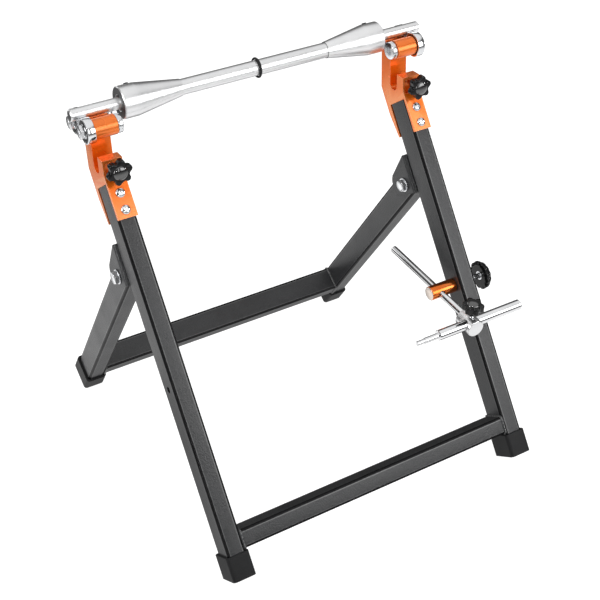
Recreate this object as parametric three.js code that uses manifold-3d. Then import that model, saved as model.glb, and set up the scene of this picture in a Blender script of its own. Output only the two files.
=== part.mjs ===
// Motorcycle wheel balancer: a folding stand with two forked heads, four ball bearings,
// a shaft with two centring cones, and a run-out pointer on the right leg.
// Millimetres, +Z up, -Y to the front. The origin is on the floor, under the middle of the
// whole object's box.

import * as THREE from 'three';
import { mergeVertices } from 'three/addons/utils/BufferGeometryUtils.js';
import Module from 'manifold-3d';

const wasm = await Module();
wasm.setup();

const { degToRad } = THREE.MathUtils;

// Clearances and overruns
const seatGap = 0.3;
const turnGap = 0.4;
const cutOverrun = 2;

// Steps round curves
const largeSteps = 28;
const mediumSteps = 20;
const smallSteps = 12;
const cornerSteps = 1;
const arcSteps = 5;
const ballSteps = 6;
const ballRows = 4;
const ringSteps = 6;
const lobeSteps = 7;
const fluteSteps = 4;
const hexSides = 6;

// Angles
const frontLean = degToRad(32.7);
const rearLean = degToRad(37.93);
const rodSlope = degToRad(6.3);
const coneScrewTilt = degToRad(-28);

// Rectangular tube, the same for legs and crossbars
const tubeWidth = 20;
const tubeDepth = 30;
const tubeWall = 1.5;
const tubeCorner = 2.5;
const tubeInnerCorner = tubeCorner - tubeWall;

// Frames
const legSpacing = 350;
const frontLegLength = 413.7;
const pivotBelowTop = 88.8;
const frontCrossbarGap = 1.5;
const rearCrossbarGap = 2.8;

// Foot caps
const capWall = 2.5;
const capFloor = 3;
const capHeight = 26;
const capCorner = 4;
const footFlatDepth = 0.8;

// Hinge brackets and their bolts
const hingeWall = 2.5;
const hingeSideGap = 0.5;
const hingeFoldGap = 0.6;
const hingeBend = 4.5;
const hingeInnerBend = 0.6;
const earTopRise = 32;
const earBottomDrop = 12;
const earTailRise = 9;
const earTailDrop = 9;
const earTailUpper = 24.5;
const earTailLower = 26;
const earCorner = 5;
const pivotBoltRadius = 4;
const pivotHeadAcross = 13;
const pivotHeadHeight = 4.6;
const pivotFlangeRadius = 8;
const pivotFlangeThickness = 1.5;
const pivotNutHeight = 6.5;
const pivotBoltEnd = 2;

// Head brackets
const headWidth = 21;
const headTabLength = 37;
const headFrontTab = 3.4;
const headBackTab = 2.4;
const headBulge = 6.8;
const headBulgeLower = 10;
const headBulgeUpper = 9;
const headFrontFace = 11;
const headShoulderHeight = 22;
const headLedgeHeight = 32;
const slotFront = 1;
const slotWidth = 13;
const slotFloor = 12;
const headBackFace = 31;
const headBackFoot = 8;
const pocketFloor = 10;
const pocketTop = 29;
const pocketDepth = 6.5;
const pocketSideWall = 2.25;
const bossRadius = 10.2;
const bossHeight = 60;
const bossFront = 4.6;
const bossSpacing = 27;
const bossProud = 2.3;
const bossGusset = 8;
const bossPadRadius = 7.2;
const bossPadHeight = 0.4;

// Pan-head screws that hold the heads
const headScrewRadius = 2.5;
const headScrewHeadRadius = 5;
const headScrewHeadHeight = 2.8;
const headScrewCrown = 3.6;
const headScrewReach = 4;
const headScrewUpper = 11.7;
const headScrewSpacing = 17;

// Ball bearings
const bearingBore = 5;
const bearingRadius = 13;
const bearingWidth = 8;
const innerRingRadius = 7.4;
const outerRingInside = 11.3;
const ballRadius = 2.38;
const ballCount = 7;
const raceClearance = 0.22;
const sealThickness = 0.6;
const sealGap = 0.15;
const cageWidth = 2;
const cageThickness = 0.8;
const bearingEdge = 0.4;

// Screws and nuts through the bearings
const rollerBoreFit = 0.15;
const rollerHeadRadius = 9.6;
const rollerThreadRadius = 4;
const rollerHeadHeight = 6;
const rollerHeadEdge = 1.2;
const rollerSocketRadius = 4.4;
const rollerSocketDepth = 3.5;
const rollerNutAcross = 13;
const rollerNutHeight = 4.5;
const rollerScrewEnd = 0.6;

// Shaft
const shaftLength = 403;
const journalRadius = 6;
const shaftRadius = 8;
const shaftStep = 140;
const shaftChamfer = 1;
const joiningStudRadius = 5;
const joiningStudLength = 40;
const ringSection = 1.25;
const ringPlace = 2.5;

// Centring cones
const coneOuterEnd = 150;
const coneShoulder = 133;
const coneInnerEnd = 84;
const coneRadius = 16.5;
const coneTipRadius = 8.7;
const coneBoreFit = 0.12;
const coneChamfer = 0.8;
const coneScrewPlace = 138;
const coneScrewRadius = 2.5;
const coneScrewProud = 0.9;

// Clamp knobs on the heads
const clampHeight = 25;
const clampStudRadius = 3;
const clampStudShy = 0.5;
const starRadius = 13.4;
const starWaist = 10.1;
const starThickness = 8;
const starDome = 2.5;
const starEdge = 1.5;
const starHubRadius = 6;
const starHubLength = 6;
const starDomeRadius = 7.5;
const starGrip = 7;
const starLobes = 6;
const domeShoulder = 0.65;
const domeShoulderRise = 0.75;
const clampKnobFront = 33;

// Run-out pointer
const indicatorAlong = 202.5;
const indicatorBossRadius = 8;
const indicatorBossLength = 32.7;
const indicatorBossChamfer = 1;
const indicatorStudRadius = 3;
const indicatorStudGrip = 12;
const indicatorStudEnd = 22.5;
const indicatorKnobGap = 15.3;
const indicatorKnobRadius = 16.5;
const indicatorKnobValley = 15;
const indicatorKnobFlutes = 12;
const indicatorKnobThickness = 8;
const indicatorKnobFace = 12.5;
const indicatorKnobRim = 3;
const insertRadius = 5;
const insertLength = 6;
const rodRadius = 4;
const rodPlace = 20.8;
const blockOffset = 3.1;
const rodStandoff = 1.2;
const rodBack = 88;
const rodChamfer = 0.6;
const blockRadius = 9.8;
const blockLength = 24;
const blockFront = 73.5;
const blockEdge = 0.8;
const pointerInset = 9.7;
const pointerLift = 1.5;
const pointerRadius = 5.75;
const pointerNeckRadius = 3.1;
const pointerTipRadius = 2.5;
const pointerOuterReach = 65.3;
const pointerNeckReach = 43;
const pointerTipStepReach = 61;
const pointerTipReach = 70.3;
const pointerChamfer = 0.6;
const pointerKnobRadius = 11.8;
const pointerKnobWaist = 9;
const pointerKnobThickness = 8.6;
const pointerKnobDome = 2.4;
const pointerKnobEdge = 1.2;
const pointerKnobHubRadius = 5;
const pointerKnobHubLength = 5;
const pointerKnobDomeRadius = 7;
const pointerKnobGrip = 6;
const pointerKnobRise = 4.6;
const pointerStudRadius = 2.5;

// Places that follow from the sizes above
const halfDepth = tubeDepth / 2;
const halfWidth = tubeWidth / 2;
const capOuterDepth = tubeDepth + 2 * (capWall + seatGap);
const capOuterWidth = tubeWidth + 2 * (capWall + seatGap);
const legX = legSpacing / 2;
const legInside = legX - halfWidth;
const frontBaseZ = capOuterDepth / 2 * Math.sin(frontLean) - footFlatDepth;
const pivotBehind = halfDepth + seatGap + hingeWall + hingeFoldGap + halfDepth;
const pivotAlong = frontLegLength - pivotBelowTop;
const pivotY = pivotAlong * Math.sin(frontLean) + pivotBehind * Math.cos(frontLean);
const pivotZ = frontBaseZ + pivotAlong * Math.cos(frontLean) - pivotBehind * Math.sin(frontLean);
const rearFootDrop = (pivotZ + footFlatDepth - capOuterDepth / 2 * Math.sin(rearLean)) / Math.cos(rearLean);
const bracketHalf = halfWidth + hingeSideGap + hingeWall;
const topY = frontLegLength * Math.sin(frontLean);
const topZ = frontBaseZ + frontLegLength * Math.cos(frontLean);
const slotBack = slotFront + slotWidth;
const bossBack = bossFront + bossSpacing;
const rollerSum = bearingRadius + journalRadius;
const shaftY = topY + bossFront + bossSpacing / 2;
const shaftZ = topZ + bossHeight + Math.sqrt(rollerSum ** 2 - (bossSpacing / 2) ** 2);
const bearingStart = headWidth / 2 + bossPadHeight + seatGap;
const bearingEnd = bearingStart + bearingWidth;
const bearingMiddle = bearingStart + bearingWidth / 2;
const ballPitch = (innerRingRadius + outerRingInside) / 2;
const raceRadius = ballRadius + raceClearance;
const indicatorY = indicatorAlong * Math.sin(frontLean);
const indicatorZ = frontBaseZ + indicatorAlong * Math.cos(frontLean);
const indicatorOuter = legX + halfWidth;
const knobInnerX = indicatorOuter + indicatorKnobGap;
const knobOuterX = knobInnerX + indicatorKnobThickness;
const rodX = legInside - rodPlace;
const blockX = rodX - blockOffset;
const pointerY = -blockFront + pointerInset;
const rodFront = -pointerY - pointerRadius - rodStandoff;
const rearFootY = pivotY + rearFootDrop * Math.sin(rearLean);
const boxLeft = -shaftLength / 2;
const boxRight = knobOuterX;
const frontCapReach = capOuterDepth / 2 * Math.cos(frontLean);
const rearCapReach = capOuterDepth / 2 * Math.cos(rearLean);
const boxFront = -frontCapReach;
const boxBack = rearFootY + rearCapReach;

// Materials
function finish(color, roughness, metalness) {
  return new THREE.MeshStandardMaterial({ color, roughness, metalness });
}

const powderGrey = () => finish(0x3b3c3e, 0.6, 0.1);
const capBlack = () => finish(0x17171a, 0.7, 0);
const headOrange = () => finish(0xe4631c, 0.4, 0.2);
const bossOrange = () => finish(0xc9571f, 0.25, 0.8);
const zinc = () => finish(0xb9bcc0, 0.3, 0.9);
const bearingSteel = () => finish(0xc4c8cc, 0.15, 1);
const aluminium = () => finish(0xdcdee0, 0.3, 0.9);
const knobBlack = () => finish(0x111113, 0.3, 0);
const ringRubber = () => finish(0x0e0e10, 0.8, 0);
const chrome = () => finish(0xd4d7da, 0.1, 1);

// A closed, outward-facing copy of a geometry with shared vertices and no thin triangles.
function closed(geometry) {
  const bare = geometry.clone();
  bare.deleteAttribute('normal');
  bare.deleteAttribute('uv');
  const merged = mergeVertices(bare);
  const index = merged.index.array;
  const place = merged.attributes.position;
  const kept = [];
  const corners = [new THREE.Vector3(), new THREE.Vector3(), new THREE.Vector3()];
  let volume = 0;
  for (let i = 0; i < index.length; i += 3) {
    const [a, b, c] = [index[i], index[i + 1], index[i + 2]];
    if (a === b || b === c || c === a) continue;
    kept.push(a, b, c);
    corners.forEach((corner, k) => corner.fromBufferAttribute(place, index[i + k]));
    volume += corners[0].dot(corners[1].cross(corners[2]));
  }
  if (volume < 0) kept.reverse();
  merged.setIndex(kept);
  return merged;
}

function toSolid(geometry) {
  const clean = closed(geometry);
  const vertProperties = new Float32Array(clean.attributes.position.array);
  const triVerts = new Uint32Array(clean.index.array);
  return new wasm.Manifold(new wasm.Mesh({ numProp: 3, vertProperties, triVerts }));
}

function toGeometry(solid) {
  const mesh = solid.getMesh();
  const geometry = new THREE.BufferGeometry();
  geometry.setAttribute('position', new THREE.BufferAttribute(new Float32Array(mesh.vertProperties), 3));
  geometry.setIndex(new THREE.BufferAttribute(new Uint32Array(mesh.triVerts), 1));
  return geometry;
}

// The first geometry, joined with those in "joins" and cut by those in "cuts".
function shaped(geometry, joins, cuts) {
  let solid = toSolid(geometry);
  for (const join of joins) solid = solid.add(toSolid(join));
  for (const cut of cuts) solid = solid.subtract(toSolid(cut));
  return toGeometry(solid);
}

const axisX = new THREE.Vector3(1, 0, 0);
const axisY = new THREE.Vector3(0, 1, 0);
const axisZ = new THREE.Vector3(0, 0, 1);
const sideBasis = new THREE.Matrix4().makeBasis(axisY, axisZ, axisX);

// An outline in the side view (Y, Z), made "width" wide along X about x = 0.
function sidePlate(outline, width, steps = cornerSteps) {
  const options = { depth: width, bevelEnabled: false, curveSegments: steps };
  const geometry = new THREE.ExtrudeGeometry(outline, options);
  return geometry.applyMatrix4(sideBasis).translate(-width / 2, 0, 0);
}

function prism(outline, height, steps = cornerSteps) {
  const options = { depth: height, bevelEnabled: false, curveSegments: steps };
  return new THREE.ExtrudeGeometry(outline, options);
}

// A profile of [radius, place] points, turned about Z, X or Y.
function turnedZ(profile, steps) {
  const points = profile.map(([radius, place]) => new THREE.Vector2(radius, place));
  return new THREE.LatheGeometry(points, steps).rotateX(Math.PI / 2);
}

const turnedX = (profile, steps) => turnedZ(profile, steps).rotateY(Math.PI / 2);
const turnedY = (profile, steps) => turnedZ(profile, steps).rotateX(-Math.PI / 2);

// A round bar from "low" to "high", as a profile.
const bar = (radius, low, high) => [[0, low], [radius, low], [radius, high], [0, high]];

// A round bar with a chamfer at both ends.
function softBar(radius, low, high, chamfer) {
  return [
    [0, low], [radius - chamfer, low], [radius, low + chamfer],
    [radius, high - chamfer], [radius - chamfer, high], [0, high],
  ];
}

// A ring of rectangular section.
function washer(inner, outer, low, high) {
  return [[inner, low], [outer, low], [outer, high], [inner, high], [inner, low]];
}

function roundedRectangle(width, depth, radius, target) {
  const x = width / 2 - radius;
  const y = depth / 2 - radius;
  target.absarc(x, -y, radius, -Math.PI / 2, 0);
  target.absarc(x, y, radius, 0, Math.PI / 2);
  target.absarc(-x, y, radius, Math.PI / 2, Math.PI);
  target.absarc(-x, -y, radius, Math.PI, 3 * Math.PI / 2);
  return target;
}

// A hollow rectangular tube along Z, its width along X.
function tube(length) {
  const outline = roundedRectangle(tubeWidth, tubeDepth, tubeCorner, new THREE.Shape());
  const inside = new THREE.Path();
  roundedRectangle(tubeWidth - 2 * tubeWall, tubeDepth - 2 * tubeWall, tubeInnerCorner, inside);
  outline.holes.push(inside);
  return prism(outline, length);
}

// A hexagonal nut or bolt head along X, from "low" to "high".
function hexX(across, low, high) {
  const corner = across / Math.sqrt(3);
  return turnedX(bar(corner, low, high), hexSides);
}

function mesh(name, geometry, material) {
  const body = new THREE.Mesh(geometry, material);
  body.name = name;
  return body;
}

const sides = [['left', -1], ['right', 1]];
const headScrewLevels = [['upper', headScrewUpper], ['lower', headScrewUpper + headScrewSpacing]];
const rollerRows = [['front', bossFront], ['back', bossBack]];

// Foot cap, standing square on the tube's end. Its lowest edge is cut to a flat on the floor.
function footCap(lean, lowEdge) {
  const outline = roundedRectangle(capOuterWidth, capOuterDepth, capCorner, new THREE.Shape());
  const outer = prism(outline, capHeight);
  const cavityWidth = tubeWidth + 2 * seatGap;
  const cavityDepth = tubeDepth + 2 * seatGap;
  const cavityShape = roundedRectangle(cavityWidth, cavityDepth, tubeCorner, new THREE.Shape());
  const cavity = prism(cavityShape, capHeight).translate(0, 0, capFloor);
  const flatRise = footFlatDepth / Math.cos(lean);
  const flatRun = footFlatDepth / Math.sin(lean);
  const edge = lowEdge * capOuterDepth / 2;
  const over = cutOverrun * Math.tan(lean);
  const wedge = new THREE.Shape();
  wedge.moveTo(edge - lowEdge * (flatRun + cutOverrun), -over);
  wedge.lineTo(edge + lowEdge * cutOverrun, -over);
  wedge.lineTo(edge + lowEdge * cutOverrun, flatRise + over);
  const floorCut = sidePlate(wedge, capOuterWidth + 2 * cutOverrun);
  return shaped(outer, [], [cavity, floorCut]);
}

// Front legs, with a hole across each for the pointer's stud and two screw holes in front.
function frontLeg() {
  const start = capFloor + seatGap;
  const leg = tube(frontLegLength - start).translate(0, 0, start);
  const span = tubeWidth + 2 * cutOverrun;
  const studHole = turnedX(bar(indicatorStudRadius + turnGap, -span / 2, span / 2), smallSteps);
  studHole.translate(0, 0, indicatorAlong);
  const cuts = [studHole];
  for (const [, place] of headScrewLevels) {
    const hole = turnedY(bar(headScrewRadius + seatGap, -halfDepth - cutOverrun, 0), smallSteps);
    cuts.push(hole.translate(0, 0, frontLegLength - place));
  }
  return shaped(leg, [], cuts);
}

// A crossbar between the legs, lying along X with its wide faces up and down the leg's depth.
function crossbar() {
  const length = 2 * (legInside - seatGap);
  return tube(length).rotateY(Math.PI / 2).translate(-length / 2, 0, 0);
}

// U-shaped sheet bracket behind the front leg, in the leg's own frame.
function hingeBracket() {
  const inner = tubeWidth + 2 * hingeSideGap;
  const outer = inner + 2 * hingeWall;
  const web = halfDepth + seatGap;
  const tail = pivotBehind + earTailLower;
  const depth = tail - web + cutOverrun;
  const channel = new THREE.Shape();
  const x = outer / 2;
  channel.moveTo(-x, web + depth);
  channel.lineTo(-x, web + hingeBend);
  channel.absarc(-x + hingeBend, web + hingeBend, hingeBend, Math.PI, 3 * Math.PI / 2);
  channel.absarc(x - hingeBend, web + hingeBend, hingeBend, -Math.PI / 2, 0);
  channel.lineTo(x, web + depth);
  channel.lineTo(inner / 2, web + depth);
  const innerY = web + hingeWall + hingeInnerBend;
  channel.lineTo(inner / 2, innerY);
  channel.absarc(inner / 2 - hingeInnerBend, innerY, hingeInnerBend, 0, -Math.PI / 2, true);
  channel.absarc(-inner / 2 + hingeInnerBend, innerY, hingeInnerBend, -Math.PI / 2, -Math.PI, true);
  channel.lineTo(-inner / 2, web + depth);
  const low = pivotAlong - earBottomDrop;
  const high = pivotAlong + earTopRise;
  const solid = toSolid(prism(channel, high - low, cornerSteps).translate(0, 0, low));
  const ear = new THREE.Shape();
  ear.moveTo(web - cutOverrun, low);
  ear.lineTo(pivotBehind, low);
  ear.lineTo(pivotBehind + earTailLower - earCorner, pivotAlong - earTailDrop);
  ear.quadraticCurveTo(
    pivotBehind + earTailLower, pivotAlong - earTailDrop,
    pivotBehind + earTailLower, pivotAlong - earTailDrop + earCorner,
  );
  ear.lineTo(pivotBehind + earTailUpper, pivotAlong + earTailRise - earCorner);
  ear.quadraticCurveTo(
    pivotBehind + earTailUpper, pivotAlong + earTailRise,
    pivotBehind + earTailUpper - earCorner, pivotAlong + earTailRise + earCorner,
  );
  ear.lineTo(web + hingeBend, high);
  ear.lineTo(web - cutOverrun, high);
  const trimmed = solid.intersect(toSolid(sidePlate(ear, outer + 2 * cutOverrun, arcSteps)));
  const bore = turnedX(bar(pivotBoltRadius + seatGap, -outer, outer), smallSteps);
  bore.translate(0, pivotBehind, pivotAlong);
  return toGeometry(trimmed.subtract(toSolid(bore)));
}

// Pivot hardware, about the pivot's own place, with the heads towards -X.
function pivotBolt() {
  const seat = bracketHalf + seatGap;
  const flange = seat + pivotFlangeThickness;
  const end = seat + pivotNutHeight + pivotBoltEnd;
  const head = hexX(pivotHeadAcross, -flange - pivotHeadHeight, -seat);
  const disc = turnedX(bar(pivotFlangeRadius, -flange, -seat), mediumSteps);
  const shank = turnedX(bar(pivotBoltRadius, -flange, end), smallSteps);
  return shaped(head, [disc, shank], []);
}

function pivotNut() {
  const start = bracketHalf + seatGap;
  const end = start + pivotNutHeight;
  const body = hexX(pivotHeadAcross, start, end);
  const bore = turnedX(bar(pivotBoltRadius + seatGap, -cutOverrun, end + cutOverrun), smallSteps);
  return shaped(body, [], [bore]);
}

// Rear leg, in the rear frame's own frame with the pivot at its origin. Its upper end is round
// towards the bracket's web, and flat where it stops against the web when the stand is open.
function rearLeg() {
  const start = -rearFootDrop + capFloor + seatGap;
  const reach = halfDepth + seatGap;
  const openAngle = Math.PI / 2 - frontLean - rearLean;
  const stopRise = (reach + halfDepth * Math.sin(openAngle)) / Math.cos(openAngle);
  const leg = tube(stopRise - start).translate(0, 0, start);
  const side = halfDepth + cutOverrun;
  const endSlope = Math.tan(openAngle) * cutOverrun;
  const cheek = Math.acos(halfDepth / reach);
  const profile = new THREE.Shape();
  profile.moveTo(-side, start - cutOverrun);
  profile.lineTo(side, start - cutOverrun);
  profile.lineTo(side, stopRise + endSlope);
  profile.absarc(0, 0, reach, Math.PI / 2 + openAngle, Math.PI - cheek);
  profile.lineTo(-side, reach * Math.sin(cheek));
  const envelope = sidePlate(profile, tubeWidth + 2 * cutOverrun, arcSteps);
  const trimmed = toSolid(leg).intersect(toSolid(envelope));
  const bore = turnedX(bar(pivotBoltRadius + turnGap, -tubeWidth, tubeWidth), smallSteps);
  return toGeometry(trimmed.subtract(toSolid(bore)));
}

// Head bracket about the centre of the tube's top, upright whatever the leg's lean.
const onLeg = (along, out) => [
  along * Math.sin(frontLean) - out * Math.cos(frontLean),
  along * Math.cos(frontLean) + out * Math.sin(frontLean),
];

function headOutline() {
  const inner = halfDepth + seatGap;
  const front = inner + headFrontTab;
  const shoulder = (front * Math.cos(frontLean) - headFrontFace) / Math.sin(frontLean);
  const slotRadius = slotWidth / 2;
  const bulge = inner + headBulge;
  const outline = new THREE.Shape();
  outline.moveTo(...onLeg(-headTabLength, front));
  outline.lineTo(...onLeg(shoulder - headFrontTab, front));
  outline.quadraticCurveTo(...onLeg(shoulder, front), -headFrontFace, headShoulderHeight);
  outline.lineTo(-headFrontFace, headLedgeHeight);
  outline.lineTo(slotFront, headLedgeHeight);
  outline.lineTo(slotFront, slotFloor + slotRadius);
  outline.absarc(slotFront + slotRadius, slotFloor + slotRadius, slotRadius, Math.PI, 2 * Math.PI);
  outline.lineTo(slotBack, bossHeight - bossRadius);
  outline.lineTo(bossFront, bossHeight - bossGusset);
  outline.lineTo(bossFront, bossHeight);
  outline.lineTo(headBackFace, bossHeight);
  outline.lineTo(headBackFace, headBackFoot);
  outline.lineTo(...onLeg(headBulgeUpper, -bulge));
  outline.lineTo(...onLeg(-headBulgeLower, -bulge));
  outline.lineTo(...onLeg(-headTabLength, -inner - headBackTab));
  outline.lineTo(...onLeg(-headTabLength, -inner));
  outline.lineTo(...onLeg(seatGap, -inner));
  outline.lineTo(...onLeg(seatGap, inner));
  outline.lineTo(...onLeg(-headTabLength, inner));
  return outline;
}

function headBracket(side) {
  const joins = [];
  const cuts = [];
  const half = headWidth / 2;
  for (const [, y] of rollerRows) {
    const boss = turnedX(bar(bossRadius, -half - bossProud, half), mediumSteps);
    const pad = turnedX(bar(bossPadRadius, 0, half + bossPadHeight), mediumSteps);
    const bore = turnedX(bar(bearingBore + seatGap, -headWidth, headWidth), smallSteps);
    for (const piece of [boss, pad, bore]) piece.translate(0, y, bossHeight);
    joins.push(boss, pad);
    cuts.push(bore);
  }
  const pocketWidth = headWidth - 2 * pocketSideWall;
  const pocket = new THREE.BoxGeometry(pocketWidth, pocketDepth + cutOverrun, pocketTop - pocketFloor);
  pocket.translate(0, -headFrontFace + (pocketDepth - cutOverrun) / 2, (pocketTop + pocketFloor) / 2);
  const thread = turnedY(bar(clampStudRadius + turnGap, -headFrontFace, slotFront + cutOverrun), smallSteps);
  cuts.push(pocket, thread.translate(0, 0, clampHeight));
  for (const [, place] of headScrewLevels) {
    const reach = halfDepth + headFrontTab + cutOverrun;
    const hole = turnedY(bar(headScrewRadius + seatGap, -reach, -halfDepth + cutOverrun), smallSteps);
    cuts.push(hole.translate(0, 0, -place).rotateX(-frontLean));
  }
  const bracket = shaped(sidePlate(headOutline(), headWidth, arcSteps), joins, cuts);
  return closed(bracket.scale(side, 1, 1));
}

// Pan-head screw through the front tab, in the leg's frame with its axis along -Y.
function headScrew() {
  const face = halfDepth + seatGap + headFrontTab + seatGap;
  const crown = headScrewHeadHeight * headScrewCrown / headScrewHeadRadius;
  return turnedY([
    [0, -face - headScrewHeadHeight],
    [headScrewCrown, -face - crown],
    [headScrewHeadRadius, -face],
    [headScrewRadius, -face],
    [headScrewRadius, -halfDepth + tubeWall + headScrewReach],
    [0, -halfDepth + tubeWall + headScrewReach],
  ], smallSteps);
}

// Bearing rings with a groove for the balls, along X about the bearing's middle.
const raceReach = (land) => Math.sqrt(raceRadius ** 2 - (land - ballPitch) ** 2);

function innerRing() {
  const half = bearingWidth / 2;
  const bore = bearingBore + rollerBoreFit;
  const reach = raceReach(innerRingRadius);
  return turnedX([
    [bore, -half], [innerRingRadius, -half], [innerRingRadius, -reach], [ballPitch - raceRadius, 0],
    [innerRingRadius, reach], [innerRingRadius, half], [bore, half], [bore, -half],
  ], smallSteps);
}

// The outer ring carries the two seals, whose lips run just clear of the inner ring.
function outerRing() {
  const half = bearingWidth / 2;
  const lip = innerRingRadius + sealGap;
  const inside = half - sealThickness;
  const reach = raceReach(outerRingInside);
  return turnedX([
    [lip, -half], [bearingRadius - bearingEdge, -half], [bearingRadius, -half + bearingEdge],
    [bearingRadius, half - bearingEdge], [bearingRadius - bearingEdge, half], [lip, half],
    [lip, inside], [outerRingInside, inside], [outerRingInside, reach], [ballPitch + raceRadius, 0],
    [outerRingInside, -reach], [outerRingInside, -inside], [lip, -inside], [lip, -half],
  ], mediumSteps);
}

// Balls in their cage, which joins them into one turning piece.
function ballCage() {
  const half = cageWidth / 2;
  const ring = washer(ballPitch - cageThickness / 2, ballPitch + cageThickness / 2, -half, half);
  const joins = [];
  for (let i = 0; i < ballCount; i += 1) {
    const turn = 2 * Math.PI * i / ballCount;
    const ball = new THREE.SphereGeometry(ballRadius, ballSteps, ballRows);
    joins.push(ball.translate(0, ballPitch * Math.cos(turn), ballPitch * Math.sin(turn)));
  }
  return shaped(turnedX(ring, 2 * ballCount), joins, []);
}

// Screw of one bearing with its nut done up, about the boss axis, the bearing on the +X side.
function rollerScrew() {
  const seat = -headWidth / 2 - bossProud - seatGap;
  const low = seat - rollerHeadHeight;
  const nutStart = bearingEnd + seatGap;
  const nutEnd = nutStart + rollerNutHeight;
  const head = turnedX(softBar(rollerHeadRadius, low, seat, rollerHeadEdge), mediumSteps);
  const shank = turnedX(bar(bearingBore, seat - bearingEdge, bearingEnd), smallSteps);
  const thread = turnedX(bar(rollerThreadRadius, seat, nutEnd + rollerScrewEnd), smallSteps);
  const nut = hexX(rollerNutAcross, nutStart, nutEnd);
  const socketEnd = low + rollerSocketDepth;
  const socket = turnedX(bar(rollerSocketRadius, low - cutOverrun, socketEnd), hexSides);
  return shaped(head, [shank, thread, nut], [socket]);
}

// One half of the shaft, along +X from its joint.
function shaftHalf() {
  const end = shaftLength / 2;
  const face = seatGap / 2;
  const bore = joiningStudRadius + seatGap;
  const depth = joiningStudLength / 2 + seatGap;
  return turnedX([
    [0, depth], [bore, depth], [bore, face], [shaftRadius, face],
    [shaftRadius, shaftStep], [journalRadius, shaftStep],
    [journalRadius, end - shaftChamfer], [journalRadius - shaftChamfer, end], [0, end],
  ], mediumSteps);
}

function shaftRing() {
  const centre = shaftRadius + seatGap + ringSection;
  return new THREE.TorusGeometry(centre, ringSection, ringSteps, mediumSteps).rotateY(Math.PI / 2);
}

function coneScrewHole(radius, low, high) {
  return turnedZ(bar(radius, low, high), smallSteps).rotateX(coneScrewTilt);
}

function cone() {
  const bore = shaftRadius + coneBoreFit;
  const body = turnedX([
    [bore, coneInnerEnd], [coneTipRadius, coneInnerEnd], [coneRadius, coneShoulder],
    [coneRadius, coneOuterEnd - coneChamfer], [coneRadius - coneChamfer, coneOuterEnd],
    [bore, coneOuterEnd], [bore, coneInnerEnd],
  ], largeSteps);
  const hole = coneScrewHole(coneScrewRadius + seatGap, 0, coneRadius + cutOverrun);
  return shaped(body, [], [hole.translate(coneScrewPlace, 0, 0)]);
}

function coneScrew() {
  const low = shaftRadius + seatGap;
  return coneScrewHole(coneScrewRadius, low, coneRadius + coneScrewProud).translate(coneScrewPlace, 0, 0);
}

// A waved outline, such as a knob's lobes or flutes.
function wavedOutline(outer, inner, waves, steps) {
  const points = [];
  const middle = (outer + inner) / 2;
  const swing = (outer - inner) / 2;
  for (let i = 0; i < waves * steps; i += 1) {
    const turn = 2 * Math.PI * i / (waves * steps);
    const radius = middle + swing * Math.cos(waves * turn);
    points.push(new THREE.Vector2(radius * Math.cos(turn), radius * Math.sin(turn)));
  }
  return new THREE.Shape(points);
}

// Star knob along Z with its domed face at the top, at z = 0, and its hub below.
function starKnob(size) {
  const rimTop = -size.dome;
  const rimLow = rimTop - size.thickness;
  const hubLow = rimLow - size.hubLength;
  const outline = wavedOutline(size.radius, size.waist, starLobes, lobeSteps);
  const lobes = prism(outline, size.thickness).translate(0, 0, rimLow);
  const crown = turnedZ([
    [0, rimLow], [size.radius - size.edge, rimLow], [size.radius, rimLow + size.edge],
    [size.radius, rimTop - size.edge], [size.domeRadius, rimTop], [0, rimTop],
  ], largeSteps);
  const soft = toGeometry(toSolid(lobes).intersect(toSolid(crown)));
  const dome = turnedZ([
    [0, rimTop - size.edge], [size.domeRadius, rimTop - size.edge], [size.domeRadius, rimTop],
    [size.domeRadius * domeShoulder, rimTop + size.dome * domeShoulderRise],
    [0, 0],
  ], smallSteps);
  const hub = turnedZ(bar(size.hubRadius, hubLow, rimLow + size.edge), smallSteps);
  const bore = turnedZ(bar(size.bore, hubLow - cutOverrun, hubLow + size.grip + seatGap), smallSteps);
  return shaped(soft, [dome, hub], [bore]);
}

const clampKnobSize = {
  radius: starRadius, waist: starWaist, thickness: starThickness, dome: starDome, edge: starEdge,
  domeRadius: starDomeRadius, hubRadius: starHubRadius, hubLength: starHubLength,
  bore: clampStudRadius + seatGap, grip: starGrip,
};

const pointerKnobSize = {
  radius: pointerKnobRadius, waist: pointerKnobWaist, thickness: pointerKnobThickness,
  dome: pointerKnobDome, edge: pointerKnobEdge, domeRadius: pointerKnobDomeRadius,
  hubRadius: pointerKnobHubRadius, hubLength: pointerKnobHubLength,
  bore: pointerStudRadius + seatGap, grip: pointerKnobGrip,
};

const knobHeight = (size) => size.dome + size.thickness + size.hubLength;

function clampKnob() {
  return starKnob(clampKnobSize).rotateX(Math.PI / 2).translate(0, -clampKnobFront, clampHeight);
}

function clampStud() {
  const start = -clampKnobFront + knobHeight(clampKnobSize) - starGrip;
  const stud = turnedY(bar(clampStudRadius, start, slotFront - clampStudShy), smallSteps);
  return stud.translate(0, 0, clampHeight);
}

// Pieces of the run-out pointer, about the boss axis, x as in the whole stand.
function indicatorBoss() {
  const face = legInside - seatGap;
  const low = face - indicatorBossLength;
  const body = turnedX(softBar(indicatorBossRadius, low, face, indicatorBossChamfer), mediumSteps);
  const span = indicatorBossRadius + cutOverrun;
  const rodHole = turnedY(bar(rodRadius + turnGap, -span, span), smallSteps);
  rodHole.rotateX(rodSlope).translate(rodX, 0, 0);
  const gripEnd = face - indicatorStudGrip - seatGap;
  const grip = turnedX(bar(indicatorStudRadius + seatGap, gripEnd, face + cutOverrun), smallSteps);
  return shaped(body, [], [rodHole, grip]);
}

function indicatorStud() {
  const low = legInside - seatGap - indicatorStudGrip;
  return turnedX(bar(indicatorStudRadius, low, indicatorOuter + indicatorStudEnd), smallSteps);
}

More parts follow.
